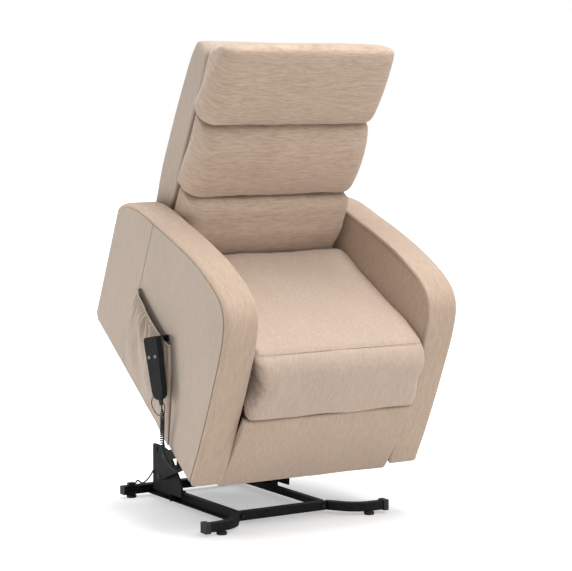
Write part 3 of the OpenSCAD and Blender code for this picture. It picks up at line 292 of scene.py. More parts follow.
def cloth(name, low, mid, high, front, side, turn=-TILT, spread=0.2):
    """A slubby woven cloth. front and side scale its threads on faces that look along the chair and across it,
    turn lines them up with the tipped chair, and a wider spread brings its tones closer together."""
    n = Nodes(name)
    n.shader.inputs["Roughness"].default_value = 0.9
    n.shader.inputs["Specular IOR Level"].default_value = 0.2
    n.shader.inputs["Sheen Weight"].default_value = 0.4
    n.shader.inputs["Sheen Roughness"].default_value = 0.45
    geometry = n.add("ShaderNodeNewGeometry")
    apart = n.add("ShaderNodeSeparateXYZ")
    n.join(geometry.outputs["Normal"], apart.inputs[0])
    facing = n.ramp(n.sum(apart.outputs["X"], 0.0, "ABSOLUTE"), (0.6, 0.0), (0.75, 1.0))

    def threads(size, detail, rough):
        pair = [n.coords(turn, [v * size for v in s]) for s in (front, side)]
        m = n.add("ShaderNodeMix", data_type="VECTOR")
        n.join(facing, next(s for s in m.inputs if s.name == "Factor" and s.enabled))
        for key, vector in zip("AB", pair):
            n.join(vector, next(s for s in m.inputs if s.name == key and s.enabled))
        return n.noise(next(s for s in m.outputs if s.enabled), 1.0, detail, rough)

    slubs = n.sum(threads(1.0, 2.0, 0.55), SLUB_SHARE, "MULTIPLY")
    wide = n.sum(threads(0.42, 1.5, 0.55), WIDE_SHARE, "MULTIPLY")
    fine = n.sum(threads(2.6, 2.0, 0.6), FINE_SHARE, "MULTIPLY")
    mixed = n.sum(slubs, n.sum(wide, fine))
    tone = n.ramp(mixed, (0.5 - spread, low), (0.5, mid), (0.5 + spread, high))
    shade = n.ramp(n.noise(n.coords(turn), 5.0, 2.0, 0.5), (0.3, 0.97), (0.7, 1.02))
    n.join(n.mix(tone, shade, 1.0, "MULTIPLY"), n.shader.inputs["Base Color"])
    weft = n.noise(n.coords(turn, (900, 900, 900)), 1.0, 1.0)
    relief = n.sum(n.sum(mixed, 0.75, "MULTIPLY"), n.sum(weft, 0.25, "MULTIPLY"))
    n.bump(relief, WEAVE_STRENGTH, WEAVE_HEIGHT)
    return n.mat


def plain(name, colour, rough, metal=0.0, grain=900.0, depth=0.0002, vary=0.12, spec=0.5):
    """A rigid material with grain, uneven gloss and slightly worn tone."""
    n = Nodes(name)
    n.shader.inputs["Metallic"].default_value = metal
    n.shader.inputs["Specular IOR Level"].default_value = spec
    where = n.coords()
    small = n.noise(where, grain, 2.0)
    large = n.noise(where, 18.0, 3.0)
    dark = [c * (1 - vary) for c in colour]
    light = [min(c * (1 + vary) + 0.002, 1) for c in colour]
    n.join(n.ramp(large, (0.3, dark), (0.72, light)), n.shader.inputs["Base Color"])
    gloss = n.ramp(large, (0.3, max(rough - 0.07, 0)), (0.75, min(rough + 0.09, 1)))
    n.join(gloss, n.shader.inputs["Roughness"])
    n.bump(small, 0.35, depth)
    return n.mat


# Thread scales per metre, along x, y and z: first on faces that look along the chair, then on those that look
# across it. PANEL_TURN, in radians, tips the panels' threads less than the chair is tipped.
LONG, THIN = 26.0, 240.0
ACROSS = ((LONG, LONG, THIN), (LONG, LONG, THIN))
DOWN = ((THIN, LONG, LONG), (LONG, THIN, LONG))
FINE_DOWN = ((300.0, 34.0, 34.0), (34.0, 300.0, 34.0))
MOTTLED = ((240.0, 90.0, 34.0), (90.0, 240.0, 34.0))
PANEL_TURN = -0.25

# Each cloth's dark, middle and light tones. The seams' tones, darker than any cloth, are painted shade for the
# seam lines.
BEIGE = (srgb(0.655, 0.562, 0.485), srgb(0.73, 0.64, 0.563), srgb(0.79, 0.712, 0.64))
PALE = (srgb(0.675, 0.59, 0.52), srgb(0.735, 0.655, 0.59), srgb(0.79, 0.725, 0.66))
GREYER = (srgb(0.635, 0.575, 0.52), srgb(0.715, 0.65, 0.59), srgb(0.775, 0.715, 0.66))
SEAM_SHADE_TONES = (srgb(0.47, 0.40, 0.34), srgb(0.54, 0.46, 0.39), srgb(0.60, 0.52, 0.45))
cloth_back = cloth("cloth_back", *BEIGE, *ACROSS)
cloth_arm = cloth("cloth_arm", *BEIGE, *FINE_DOWN, spread=0.27)
cloth_seat = cloth("cloth_seat", *PALE, *MOTTLED, spread=0.27)
cloth_panel = cloth("cloth_panel", *GREYER, *DOWN, turn=PANEL_TURN, spread=0.36)
# Painted shade: a dark cloth for the thin tubes that draw the seam lines.
seam_shade_cloth = cloth("seam_shade_cloth", *SEAM_SHADE_TONES, *DOWN)
steel_black = plain("steel_black", (0.007, 0.007, 0.008), 0.5, 0.0, 1400, 0.00012, 0.3, 0.2)
dark_bolts = plain("dark_bolts", (0.02, 0.02, 0.022), 0.42, 0.4, 900, 0.00006, 0.25)
zinc = plain("zinc", (0.42, 0.43, 0.45), 0.38, 0.9, 700, 0.00005, 0.2)
rubber = plain("rubber", (0.015, 0.015, 0.015), 0.75, 0.0, 1500, 0.0002, 0.2)
plastic_black = plain("plastic_black", (0.016, 0.016, 0.018), 0.5, 0.0, 1600, 0.0002, 0.15)
plastic_handset = plain("plastic_handset", (0.012, 0.0125, 0.014), 0.62, 0.0, 1800, 0.00015, 0.1, 0.15)
cord_rubber = plain("cord_rubber", (0.014, 0.014, 0.015), 0.45, 0.0, 1500, 0.0001, 0.15)
button_grey = plain("button_grey", (0.2, 0.21, 0.22), 0.5, 0.0, 500, 0.00003, 0.1, 0.25)
wood = plain("wood", (0.5, 0.33, 0.17), 0.65, 0.0, 300, 0.0004, 0.25)

FINISH = {
    "steel_black": steel_black, "plated_steel": zinc,
    "plastic_caps": plastic_black, "plastic_black": plastic_black,
    "rubber_feet": rubber, "lead_black": rubber,
    "cord_rubber": cord_rubber, "handset_plastic": plastic_handset,
    "button_grey": button_grey, "wood": wood, "upholstery": cloth_arm, "panel_cloth": cloth_panel,
}
for part in frame["record"]["subparts"]:
    dress(NODES[part["node"]], FINISH[part["material_slot"]])
for node in ("base_pivot_pins", "base_bolts", "chair_pivot_pins"):
    dress(NODES[node], dark_bolts)


# Cords, along the same routes as their solids, in millimetres from the base's front line. The curls' ends ease
# in over more turns than the solid's, so that the lead bends less tightly there.
def place_mm(p):
    return Vector((p[0] / 1000 - CX, p[1] / 1000 - CY, p[2] / 1000))


LEAD_D, CURL_D, CURLS = 4.0, 13.5, 40
EASE_TURNS = 2.5
CURL_SIDE = Vector((0.3, 0.95, 0.1))
CORD_ROUTE = [
    [-418.7, -9.3, 372.5], [-418, -11.5, 353], [-415, -7, 332], [-410, 3, 306], [-407, 10, 280],
    [-404, 11, 256], [-400.5, 2, 230], [-393, -7, 209], [-380, -8, 194], [-364, 2, 189],
    [-352, 16, 199], [-347, 28, 219], [-345.5, 32, 232]
]
LOOP_ROUTE = [
    [-424.6, 14.7, 396.3], [-426.5, 18.8, 393.5], [-432, 20.5, 384], [-434, 17, 370], [-433, 4, 356],
    [-431, -13, 347],
    [-427, -26, 346], [-422, -31, 355], [-418, -27, 366], [-416.2, -19, 376.2], [-417.1, -14.4, 377.4]
]
LOOP_D = 2.4
POWER_ROUTE = [
    [-212, 545, 39.5], [-206, 545, 46], [-200, 546, 50], [-196, 540, 46], [-193, 528, 44], [-192, 505, 56],
    [-191.5, 480, 76], [-191, 464.5, 92]
]
POWER_D = 4.5


def curl_points(rings=20):
    """Centre of the curly cord's lead: straight ends, and curls round the route between them."""
    line = [Vector(q) for q in open_curve(CORD_ROUTE, 10)]
    runs = [0.0]
    for a, b in zip(line, line[1:]):
        runs.append(runs[-1] + (b - a).length)
    long = runs[-1]

    def at(s):
        i = max(k for k in range(len(line) - 1) if runs[k] <= max(s, 0) or k == 0)
        return line[i] + (line[i + 1] - line[i]) * ((s - runs[i]) / (runs[i + 1] - runs[i]))

    def way(s):
        return (at(min(s + 3, long)) - at(max(s - 3, 0))).normalized()

    s0, s1, r = LEAD_D * 2, long - LEAD_D * 2.5, (CURL_D - LEAD_D) / 2
    out = [at(0), at(LEAD_D)]
    for k in range(CURLS * rings + 1):
        turn = k / rings
        s = s0 + (s1 - s0) * turn / CURLS
        t = way(s)
        side = t.cross(CURL_SIDE).normalized()
        w = min(1, turn / EASE_TURNS, (CURLS - turn) / EASE_TURNS)
        a = 2 * math.pi * turn
        out.append(at(s) + r * w * (math.cos(a) * side + math.sin(a) * t.cross(side)))
    return out + [at(long - LEAD_D), at(long)]


def cord_piece(name, mm_points, thick_mm, node, body, mat, sides):
    points = [place_mm(p) for p in mm_points]
    obj = tube(name, points, thick_mm / 2000, None, body, mat, sides)
    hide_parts(node)


cord_piece("curly_cord", curl_points(), LEAD_D, "handset_cord", "chair", cord_rubber, 10)
cord_piece("lanyard_loop", open_curve(LOOP_ROUTE, 6), LOOP_D, "handset_loop", "chair", rubber, 10)
cord_piece("rear_lead", open_curve(POWER_ROUTE, 6), POWER_D, "power_lead", "base", rubber, 12)


# Cushions, drawn in the chair frame from a side-view section.
BACK_Y, BACK_Z, BACK_UNIT = 0.600, 0.290, 0.620
SEAT_Y, SEAT_Z, SEAT_UNIT = 0.062, 0.240, 0.523
EDGE_STEPS = 8


def inset(section, d, centre):
    """Moves a closed side-view section inwards by about d."""
    n = len(section)
    out = []
    for i in range(n):
        a, b = Vector(section[i - 1]), Vector(section[(i + 1) % n])
        t = (b - a).normalized()
        normal = Vector((-t[1], t[0]))
        p = Vector(section[i])
        if normal.dot(centre - p) < 0:
            normal = -normal
        out.append(p + normal * min(d, (centre - p).length * 0.9))
    return out


def middle(section):
    """The mean of a section's points."""
    return sum((Vector(q) for q in section), Vector((0, 0))) / len(section)


def shrunk(section, centre, d, upright=1.0):
    """Draws a section in towards its middle by d, with the share upright of it in height."""
    far = [max(abs(q[k] - centre[k]) for q in section) for k in (0, 1)]
    ky, kz = 1 - d / far[0], 1 - upright * d / far[1]
    return [Vector((centre[0] + (q[0] - centre[0]) * ky, centre[1] + (q[1] - centre[1]) * kz))
            for q in section]


def cushion(name, section, half_w, edge_r, cols=46, pts=130, crown=0.006, shape=None, upright=0.3):
    """A cushion lofted along x from its side-view section, with rounded edges and crowned ends."""
    sec = even_points(closed_curve(section, 6), pts)
    c = middle(sec)
    ends = []
    for k in (0.12, 0.35, 0.6, 0.82):
        t = 1 - k
        ring = [c.lerp(q, k) for q in shrunk(sec, c, edge_r, upright)]
        ends.append((ring, half_w + crown * (t * (2 - t))))
    for k in range(EDGE_STEPS + 1):
        a = math.pi / 2 * (1 - k / EDGE_STEPS)
        ring = shrunk(sec, c, edge_r * (1 - math.cos(a)), upright)
        ends.append((ring, half_w - edge_r * (1 - math.sin(a))))
    rings = [(ring, -x) for ring, x in ends]
    for k in range(1, cols):
        rings.append((sec, (2 * k / cols - 1) * (half_w - edge_r)))
    rings += [(ring, x) for ring, x in reversed(ends)]
    out = [[Vector((x, q[0], q[1])) for q in ring] for ring, x in rings]
    if shape:
        out = [[shape(v) for v in r] for r in out]
    return ring_loft(name, out, CHAIR)


def rumple(obj, seed, *layers):
    """Moves each point along its normal: soft swells, or thin creases where a noise crosses zero."""
    verts = obj.data.vertices
    normals = [v.normal.copy() for v in verts]
    for v, normal in zip(verts, normals):
        move = 0.0
        p = v.co.copy()
        for kind, amount, scale, where in layers:
            w = where(p) if where else 1.0
            if w <= 0:
                continue
            q = Vector((p.x * scale[0] + seed, p.y * scale[1] - seed * 2, p.z * scale[2] + seed * 3))
            value = noise.noise(q)
            if kind == "swell":
                move += amount * w * value
            else:
                patch = max(0.0, noise.noise(q * 0.37 + Vector((7.1, 3.3, seed))) + 0.12)
                move -= amount * w * math.exp(-(value / 0.045) ** 2) * min(patch * 4, 1)
        v.co += normal * move


def grooved(obj, depth, width, far):
    """Presses a seam into a surface. far gives each point's distance from the seam."""
    verts = obj.data.vertices
    normals = [v.normal.copy() for v in verts]
    for v, normal in zip(verts, normals):
        d = far(v.co) / width
        if d < 3:
            v.co -= normal * depth * math.exp(-d * d)


def near(value, at, width):
    """A bell curve, which is 1 where value is at."""
    return math.exp(-((value - at) / width) ** 2)


def back_at(table):
    """Places a table of the back's shares in the chair frame."""
    return [(BACK_Y + a * BACK_UNIT, BACK_Z + b * BACK_UNIT) for a, b in table]


def seat_at(table):
    """Places a table of the seat's shares in the chair frame."""
    return [(SEAT_Y + a * SEAT_UNIT, SEAT_Z + b * SEAT_UNIT) for a, b in table]


SEAT = seat_at([
    [-0.1055, -0.0149], [-0.0995, 0.0671], [-0.0845, 0.1721], [-0.0455, 0.2601], [0.0425, 0.3131],
    [0.2125, 0.3061], [0.4725, 0.2641], [0.7265, 0.2261], [0.9145, 0.2031], [0.9545, 0.1721],
    [0.9485, 0.0951], [0.8375, 0.0541], [0.4555, 0.0531], [0.0915, 0.0541], [0.0065, 0.0585],
    [-0.0126, 0.052], [-0.0205, 0.0115], [-0.0685, -0.0279]
])
HEAD = back_at([
    [0.0806, 0.7113], [0.0516, 0.7677], [0.0645, 0.8645], [0.0871, 0.9839], [0.1081, 1.0726],
    [0.1387, 1.0935], [0.1806, 1.0839], [0.2339, 1.0452], [0.279, 0.9919], [0.2681, 0.9032],
    [0.2377, 0.8065], [0.23, 0.7274], [0.1613, 0.7048]
])
MIDDLE = back_at([
    [0.0871, 0.6903], [0.0355, 0.6323], [0.0048, 0.5484], [-0.0032, 0.4484], [0.0113, 0.371],
    [0.0548, 0.3452], [0.1097, 0.3435], [0.1619, 0.3394], [0.1821, 0.4097], [0.2068, 0.5339],
    [0.2245, 0.6468], [0.2258, 0.6961], [0.1548, 0.7032]
])
LUMBAR = back_at([
    [-0.0097, 0.3419], [-0.0403, 0.3097], [-0.0565, 0.2532], [-0.071, 0.1903], [-0.0645, 0.1323],
    [-0.0548, 0.0968], [-0.05, 0.0645], [-0.0435, 0.0258], [-0.029, 0.0306], [-0.0161, 0.0516],
    [0.0097, 0.0653], [0.0806, 0.0645], [0.129, 0.0661], [0.1426, 0.0871], [0.1432, 0.1516],
    [0.1458, 0.2161], [0.1539, 0.2774], [0.1597, 0.3226], [0.1097, 0.3397], [0.0548, 0.3419]
])


def sagging(foot, seed):
    """Lets the lower front edge of a back cushion hang in a slow wave."""
    def shape(v):
        w = near(v.z, foot, 0.05) * clamped((0.70 - v.y) / 0.06)
        slow = noise.noise(Vector((v.x * 6.5 + seed, seed, 0)))
        wave = slow + 0.5 * noise.noise(Vector((v.x * 17 - seed, 2, seed)))
        return v + Vector((0, -0.003 * wave, 0.007 * wave)) * w
    return shape


def seat_shape(v):
    """Lets the seat's lower edge droop, and gathers the ends of its front, the left one more."""
    low = near(v.z, 0.228, 0.03) * clamped((0.07 - v.y) / 0.05)
    wave = noise.noise(Vector((v.x * 8 + 3, 1, 2))) - 0.25
    side = max(0.0, (abs(v.x) - 0.215) / 0.06)
    front = clamped((0.20 - v.y) / 0.05) * clamped((0.41 - v.z) / 0.02)
    pucker = (0.0036 if v.x < 0 else 0.0006) * math.sin(v.z * 420 + 2 * math.sin(v.z * 90))
    pull = side * front * ((0.004 + 0.027 * near(v.z, 0.315, 0.040)) * (1.0 if v.x < 0 else 0.45) + pucker)
    return v + Vector((-math.copysign(pull, v.x), 0.5 * pull, 0.006 * wave * low))


GROOVE_Y, GROOVE_Z = 0.0785, 0.4035
seat = cushion("seat_cushion_cover", SEAT, 0.2755, 0.024, cols=60, pts=170, shape=seat_shape, upright=0.6)
grooved(seat, 0.004, 0.0055, lambda p: math.hypot(p.y - GROOVE_Y, p.z - GROOVE_Z))
rumple(seat, 4.2, ("swell", 0.006, (5, 7, 7), None),
       ("swell", 0.0022, (26, 9, 9), lambda p: near(p.z, 0.36, 0.09)),
       ("crease", 0.0016, (9, 5, 5), lambda p: 1.0 if p.y > 0.1 else 0.6))
head = cushion("head_cushion_cover", HEAD, 0.281, 0.044, shape=sagging(0.735, 1.7))
rumple(head, 2.4, ("swell", 0.008, (4.5, 7, 7), None),
       ("swell", 0.002, (22, 6, 6), lambda p: near(p.z, 0.75, 0.05)),
       ("crease", 0.0015, (7, 4, 5), None))
mid = cushion("middle_cushion_cover", MIDDLE, 0.276, 0.044, shape=sagging(0.505, 5.1))
rumple(mid, 9.3, ("swell", 0.007, (4.5, 7, 7), None),
       ("swell", 0.0022, (22, 6, 6), lambda p: near(p.z, 0.515, 0.05)),
       ("crease", 0.0016, (7, 4, 5), None))
lumbar = cushion("lumbar_cushion_cover", LUMBAR, 0.269, 0.040)
rumple(lumbar, 14.8, ("swell", 0.006, (4.5, 7, 7), None), ("crease", 0.0016, (7, 4, 5), None))
PAD_THICK, PAD_TALL = 0.022, 0.242
PAD = [(0.009 + a * PAD_THICK, -0.026 + b * PAD_TALL) for a, b in [
    [0.09, 0.01], [0, 0.2], [-0.03, 0.5], [0, 0.8], [0.18, 0.985],
    [0.5, 1], [0.95, 0.97], [1, 0.5], [0.95, 0.03], [0.5, 0]
]]
pad = cushion("footrest_pad_cover", PAD, 0.2765, 0.004, cols=60, pts=110, crown=0.0002, upright=0.5)
rumple(pad, 6.6, ("swell", 0.003, (7, 5, 6), lambda p: 1.0 if p.y < 0.02 else 0.0),
       ("swell", 0.0012, (40, 5, 5), lambda p: near(p.z, 0.19, 0.05) if p.y < 0.02 else 0.0),
       ("crease", 0.0014, (8, 3, 7), lambda p: 1.0 if p.y < 0.02 and p.x > 0 and p.z < 0.1 else 0.0))
for obj, node, body, mat in (
        (seat, "seat_cushion", "chair", cloth_seat), (head, "head_cushion", "back", cloth_back),
        (mid, "middle_cushion", "back", cloth_back), (lumbar, "lumbar_cushion", "back", cloth_back),
        (pad, "footrest_pad", "footrest", cloth_arm)):
    dress(obj, mat)
    mount(obj, body)
    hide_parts(node)


# Arms: a padded form with a rounded edge, and the flatter panel on its outside.
ARM_SHARES = [
    [0, 0], [0.019, 0.197], [0.048, 0.405], [0.075, 0.58], [0.11, 0.785], [0.15, 0.92],
    [0.2, 0.985], [0.26, 1.003], [0.34, 1], [0.45, 0.98], [0.58, 0.935], [0.72, 0.876],
    [0.86, 0.815], [0.945, 0.752], [0.99, 0.685]
]
TAIL_SHARES = [[1, 0.655], [0.912, 0.012], [0.89, -0.012]]
ARM_LINE = [(a * ARM_D, b * ARM_H) for a, b in open_curve(ARM_SHARES, 8) + TAIL_SHARES]
arm_line = even_points(ARM_LINE, 220)
arm_centre = middle(arm_line)


def slab_rings(line, c, x0, x1, r0, r1, cols=5):
    """Rings of a slab along x, with an edge radius at each side."""
    rings = []
    for k in (0.85, 0.5, 0.2):
        rings.append(([q.lerp(c, k) for q in inset(line, r0, c)], x0))
    for k in range(EDGE_STEPS, -1, -1):
        a = k / EDGE_STEPS * math.pi / 2
        rings.append((inset(line, r0 * (1 - math.cos(a)), c), x0 + r0 - r0 * math.sin(a)))
    for k in range(1, cols + 1):
        rings.append((line, x0 + r0 + (x1 - x0 - r0 - r1) * k / (cols + 1)))
    for k in range(EDGE_STEPS + 1):
        a = k / EDGE_STEPS * math.pi / 2
        rings.append((inset(line, r1 * (1 - math.cos(a)), c), x1 - r1 + r1 * math.sin(a)))
    for k in (0.2, 0.5, 0.85):
        rings.append(([q.lerp(c, k) for q in inset(line, r1, c)], x1))
    return rings


def soft_slab(name, side, rings, mat, body, node, seed=0.0, layers=()):
    """A padded slab from its rings, mirrored for side -1, that stands for a CAD node."""
    obj = ring_loft(name, [[Vector((side * x, q[0], q[1])) for q in ring] for ring, x in rings], CHAIR)
    rumple(obj, seed, *layers)
    dress(obj, mat)
    mount(obj, body)
    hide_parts(node)


def at_x(x, line):
    """Points of a side-view line at one x."""
    return [Vector((x, q[0], q[1])) for q in line]


# Seam tubes, by default in the dark seam cloth, are painted shade lines along the seams.
def seam(name, points, radius, mat=seam_shade_cloth, closed=False):
    obj = tube(name, points, radius, CHAIR, "chair", mat, 6, closed)


SEAM_STEP, SEAM_HALF, SEAM_Y, SEAM_Z = 0.0131, 0.262, 0.0793, 0.4021
# The seat's front seam tube takes the arms' beige, darker than the seat's cloth: a painted shade line in the
# seam's groove.
seam("seat_front_seam", [seat_shape(Vector((k * SEAM_STEP - SEAM_HALF, SEAM_Y, SEAM_Z))) for k in range(41)],
     0.0008, cloth_arm)

# The arm ends a little inside the panel's outer face, and the panel is smaller than the arm's outline. Each has
# an edge radius at its inner and its outer side.
ARM_X1 = HALF_W - 0.0028
PANEL_SHARE = 0.9625
ARM_EDGES, PANEL_EDGES = (0.0055, 0.014), (0.001, 0.0024)


def off_panel(p):
    """1 on the arm's open faces, and 0 where the side panel lies on it."""
    return clamped((ARM_X1 - abs(p.x)) / 0.012)


ARM_LAYERS = (("swell", 0.0025, (8, 7, 7), off_panel), ("crease", 0.0008, (11, 6, 6), off_panel))
PANEL_LINE = [arm_centre + (q - arm_centre) * PANEL_SHARE for q in arm_line]
# Each arm's inner seam and each panel's edge get a dark seam tube, a painted shade line.
for side, label in ((-1, "left"), (1, "right")):
    soft_slab("arm_cover_" + label, side, slab_rings(arm_line, arm_centre, INNER_X, ARM_X1, *ARM_EDGES),
              cloth_arm, "chair", "arm_" + label, 3.0 + side, ARM_LAYERS)
    soft_slab("side_panel_cover_" + label, side,
              slab_rings(PANEL_LINE, arm_centre, ARM_X1 - 0.001, HALF_W, *PANEL_EDGES, 1),
              cloth_panel, "chair", "side_panel_" + label)
    seam("arm_seam_" + label, at_x(side * (INNER_X + 0.0004), inset(arm_line, 0.0115, arm_centre)),
         0.0012, closed=True)
    seam("panel_edge_" + label, at_x(side * (ARM_X1 + 0.0002), PANEL_LINE), 0.0014, closed=True)

# A dark seam tube down the left panel, a painted shade line.
PANEL_SEAM = [(0.5775, 0.445), (0.557, 0.350), (0.535, 0.247)]
seam("panel_seam_left", at_x(-HALF_W + 0.0002, open_curve(PANEL_SEAM, 8)), 0.0011)


# Gathered pocket on the left panel, as a sheet of cloth sewn at its sides and foot.
POCKET = [
    [[1.011, 0.482], [0.574, 0.467]], [[1.017, 0.382], [0.501, 0.375]], [[1.015, 0.287], [0.436, 0.268]],
    [[0.994, 0.191], [0.38, 0.172]], [[0.973, 0.109], [0.333, 0.088]], [[0.948, 0.038], [0.291, 0.015]]
]
POCKET_FULL = [[0.7, 0.25], [0.9, 0.3], [0.95, 0.34], [0.75, 0.38], [0.42, 0.4], [0.06, 0.4]]
POCKET_REAR = [0, 0.012, 0.028, 0.034, 0.030, 0.022]
pocket_rows = open_curve([[a[0] - r, a[1], *b, *f]
                          for (a, b), f, r in zip(POCKET, POCKET_FULL, POCKET_REAR)], 9)
POCKET_COLS = 150
POCKET_BULGE, POCKET_RUFFLES, MOUTH_BAND = 0.027, 17, 0.06


def pocket_point(row, t, u):
    """A point of the pocket: t runs from its mouth to its foot, and u from its rear edge to its front edge."""
    a, b = Vector(row[0:2]) * ARM_H, Vector(row[2:4]) * ARM_H
    arch = math.sin(math.pi * min(max(u, 0), 1))
    out = 0.0015 + POCKET_BULGE * row[4] * arch ** max(row[5], 0.2)
    loose = min(1, t / 0.12) * (1 - 0.8 * t * t)
    out += 0.010 * loose * arch * math.cos(2 * math.pi * 2.6 * u + math.radians(60) * t * 4)
    out += 0.010 * loose * arch ** 0.5 * noise.noise(Vector((u * 8 - t * 1.5, t * 2.1, 4.4)))
    ruffle = math.cos(2 * math.pi * (POCKET_RUFFLES * u + 0.5 * noise.noise(Vector((u * 6, 0, 1)))))
    out += 0.0060 * (t / MOUTH_BAND) * math.exp(1 - t / MOUTH_BAND) * ruffle * arch ** 0.3
    fold = math.exp(-((t - 0.42) / 0.3) ** 2)
    out += fold * (0.010 * near(u, 0.12, 0.05) - 0.013 * near(u, 0.28, 0.06))
    q = a.lerp(b, u)
    droop = -0.004 * arch * math.exp(-(t / 0.3) ** 2)
    return Vector((-HALF_W - 0.0006 - max(out, 0.0012), q[0], q[1] + droop))


grid = [[pocket_point(row, i / (len(pocket_rows) - 1), k / POCKET_COLS) for k in range(POCKET_COLS + 1)]
        for i, row in enumerate(pocket_rows)]
verts = [v for row in grid for v in row]
wide = POCKET_COLS + 1
faces = [(i * wide + k, i * wide + k + 1, (i + 1) * wide + k + 1, (i + 1) * wide + k)
         for i in range(len(grid) - 1) for k in range(POCKET_COLS)]
# Goes through the sheet's faces and takes each one's four corners, but keeps nothing from them.
for f in faces:
    a, b, c, d = (verts[j] for j in f)
pocket = mesh_piece("pocket_cloth", verts, faces, CHAIR)
skin = pocket.modifiers.new("skin", "SOLIDIFY")
skin.thickness = 0.0014
skin.offset = 0
apply_modifiers(pocket)
for p in pocket.data.polygons:
    p.use_smooth = True
dress(pocket, cloth_panel)
mount(pocket, "chair")
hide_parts("side_pocket")
# Dark seam tubes along the pocket's two side edges, painted shade lines.
for name, edge in (("front", [r[0] for r in grid]), ("rear", [r[-1] for r in grid])):
    seam("pocket_seam_" + name, [v + Vector((-0.0004, 0, 0)) for v in edge], 0.0012)
hem = tube("pocket_hem", [v + Vector((0.0, 0, 0.001)) for v in grid[0]], 0.0022, CHAIR, "chair", cloth_panel, 8)


# Back shell, with a rounded outline, and the cloth over the rear of the seat frame.
SHELL = back_at(open_curve([
    [0.387, 0.9419], [0.3954, 0.8431], [0.3743, 0.6002], [0.3322, 0.348],
    [0.2951, 0.197], [0.2647, 0.0806], [0.2352, 0.003]
], 6) + open_curve([
    [0.1458, -0.0097], [0.1458, 0.0966], [0.1483, 0.213], [0.166, 0.3303], [0.1871, 0.4095],
    [0.2115, 0.5336], [0.2293, 0.6466], [0.2385, 0.7681], [0.2756, 0.9165], [0.3161, 0.9645],
    [0.3581, 0.9677]
], 6))
# The shell's half width, the radius of its top corners, and its highest and lowest lines.
SHELL_W, CORNER = 0.264, 0.030
SHELL_TOP, SHELL_LOW = BACK_Z + 0.975 * BACK_UNIT, BACK_Z - 0.0323 * BACK_UNIT
shell_line = [Vector((q[0], max(q[1], SHELL_LOW))) for q in even_points(SHELL, 200)]


def shell_rings():
    """Rings of the back shell, with its two top corners rounded."""
    c = middle(shell_line)
    rings = slab_rings(shell_line, c, -SHELL_W, SHELL_W, 0.007, 0.007, 40)
    out = []
    for ring, x in rings:
        past = max(0.0, abs(x) - (SHELL_W - CORNER))
        top = SHELL_TOP - CORNER + math.sqrt(max(CORNER ** 2 - past ** 2, 0))
        out.append(([Vector((q[0], min(q[1], top))) for q in ring], x))
    return out


soft_slab("back_shell_cover", 1, shell_rings(), cloth_panel, "back", "back_shell", 21.0,
          [("swell", 0.002, (5, 5, 5), lambda p: 1.0 if p.y > 0.72 else 0.0)])
REAR = [(0.6985, 0.024), (0.6985, 0.204), (0.7078, 0.204), (0.7078, 0.024)]
rear_line = even_points(REAR, 120)
REAR_X = INNER_X - 0.0005
soft_slab("rear_panel_cover", 1, slab_rings(rear_line, middle(rear_line), -REAR_X, REAR_X, 0.002, 0.002, 30),
          cloth_panel, "chair", "rear_panel")


# Light, floor and backdrop.
def lamp(name, at, to, size, power):
    """A round area lamp: its place, target and size in metres, and its power in watts."""
    data = bpy.data.lights.new(name, "AREA")
    data.shape = "DISK"
    data.size = size
    data.energy = power
    obj = link(bpy.data.objects.new(name, data))
    obj.location = at
    obj.rotation_mode = "QUATERNION"
    obj.rotation_quaternion = (Vector(to) - Vector(at)).to_track_quat("-Z", "Y")


lamp("key", (0.2, -0.8, 4.4), (0, 0, 0.6), 2.6, 142)
lamp("front", (0.6, -3.0, 3.2), (0, 0, 0.7), 2.4, 50)
lamp("low", (2.4, -3.2, 1.0), (0, 0, 0.5), 2.0, 14)
lamp("left", (-3.2, 0.8, 0.4), (0, 0, 0.5), 1.6, 46)

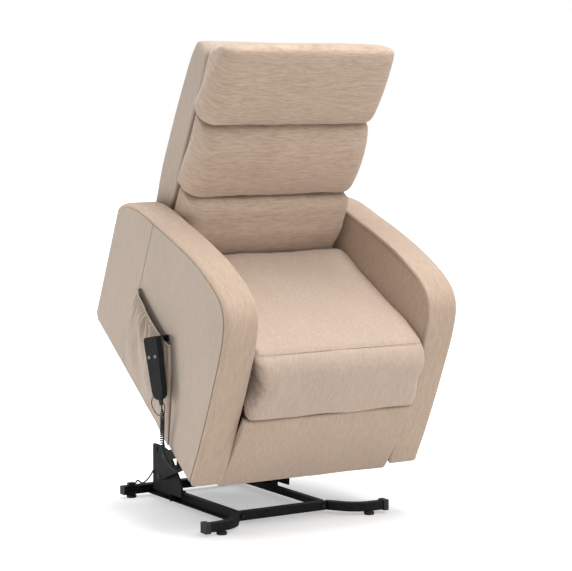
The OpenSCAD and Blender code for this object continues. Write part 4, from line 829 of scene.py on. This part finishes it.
# A floor that glows to the camera, less so round the chair: a painted shadow there, with the lamps' own shadow on
# top of it.
FAR = 20
floor = mesh_piece("floor", [(-FAR, -FAR, 0), (FAR, -FAR, 0), (FAR, FAR, 0), (-FAR, FAR, 0)], [(0, 1, 2, 3)])
f = Nodes("floor")
f.shader.inputs["Base Color"].default_value = (0.86, 0.86, 0.86, 1)
f.shader.inputs["Roughness"].default_value = 0.9
f.shader.inputs["Specular IOR Level"].default_value = 0.1
glow = f.add("ShaderNodeEmission")
path = f.add("ShaderNodeLightPath")
both = f.add("ShaderNodeAddShader")
length = f.add("ShaderNodeVectorMath", operation="LENGTH")
f.join(f.coords(), length.inputs[0])
glow_with_painted_shadow = f.ramp(f.sum(length.outputs["Value"], 0.25, "MULTIPLY"), (0.15, 0.36), (0.34, 1.0))
f.join(f.sum(path.outputs["Is Camera Ray"], glow_with_painted_shadow, "MULTIPLY"), glow.inputs["Strength"])
f.join(f.shader.outputs["BSDF"], both.inputs[0])
f.join(glow.outputs["Emission"], both.inputs[1])
f.join(both.outputs["Shader"], f.out.inputs["Surface"])
dress(floor, f.mat)
# The floor's place sets the painted shadow's centre, to the right of and in front of the chair.
floor.location = (0.42, -0.12, 0)

# White where the camera looks at it, and a softer light on everything else.
world = bpy.data.worlds.new("world")
bpy.context.scene.world = world
world.use_nodes = True
wt = world.node_tree
wt.nodes.clear()
wout = wt.nodes.new("ShaderNodeOutputWorld")
wmix = wt.nodes.new("ShaderNodeMixShader")
wpath = wt.nodes.new("ShaderNodeLightPath")
seen = wt.nodes.new("ShaderNodeMath")
seen.operation = "MAXIMUM"
soft = wt.nodes.new("ShaderNodeBackground")
white = wt.nodes.new("ShaderNodeBackground")
soft.inputs["Color"].default_value = (0.95, 0.97, 1.0, 1)
soft.inputs["Strength"].default_value = 0.41
white.inputs["Color"].default_value = (1, 1, 1, 1)
white.inputs["Strength"].default_value = 1.0
wt.links.new(wpath.outputs["Is Camera Ray"], seen.inputs[0])
wt.links.new(wpath.outputs["Is Transmission Ray"], seen.inputs[1])
wt.links.new(seen.outputs[0], wmix.inputs["Fac"])
wt.links.new(soft.outputs[0], wmix.inputs[1])
wt.links.new(white.outputs[0], wmix.inputs[2])
wt.links.new(wmix.outputs[0], wout.inputs["Surface"])
bpy.context.scene.view_settings.view_transform = "Standard"

bpy.context.view_layer.update()
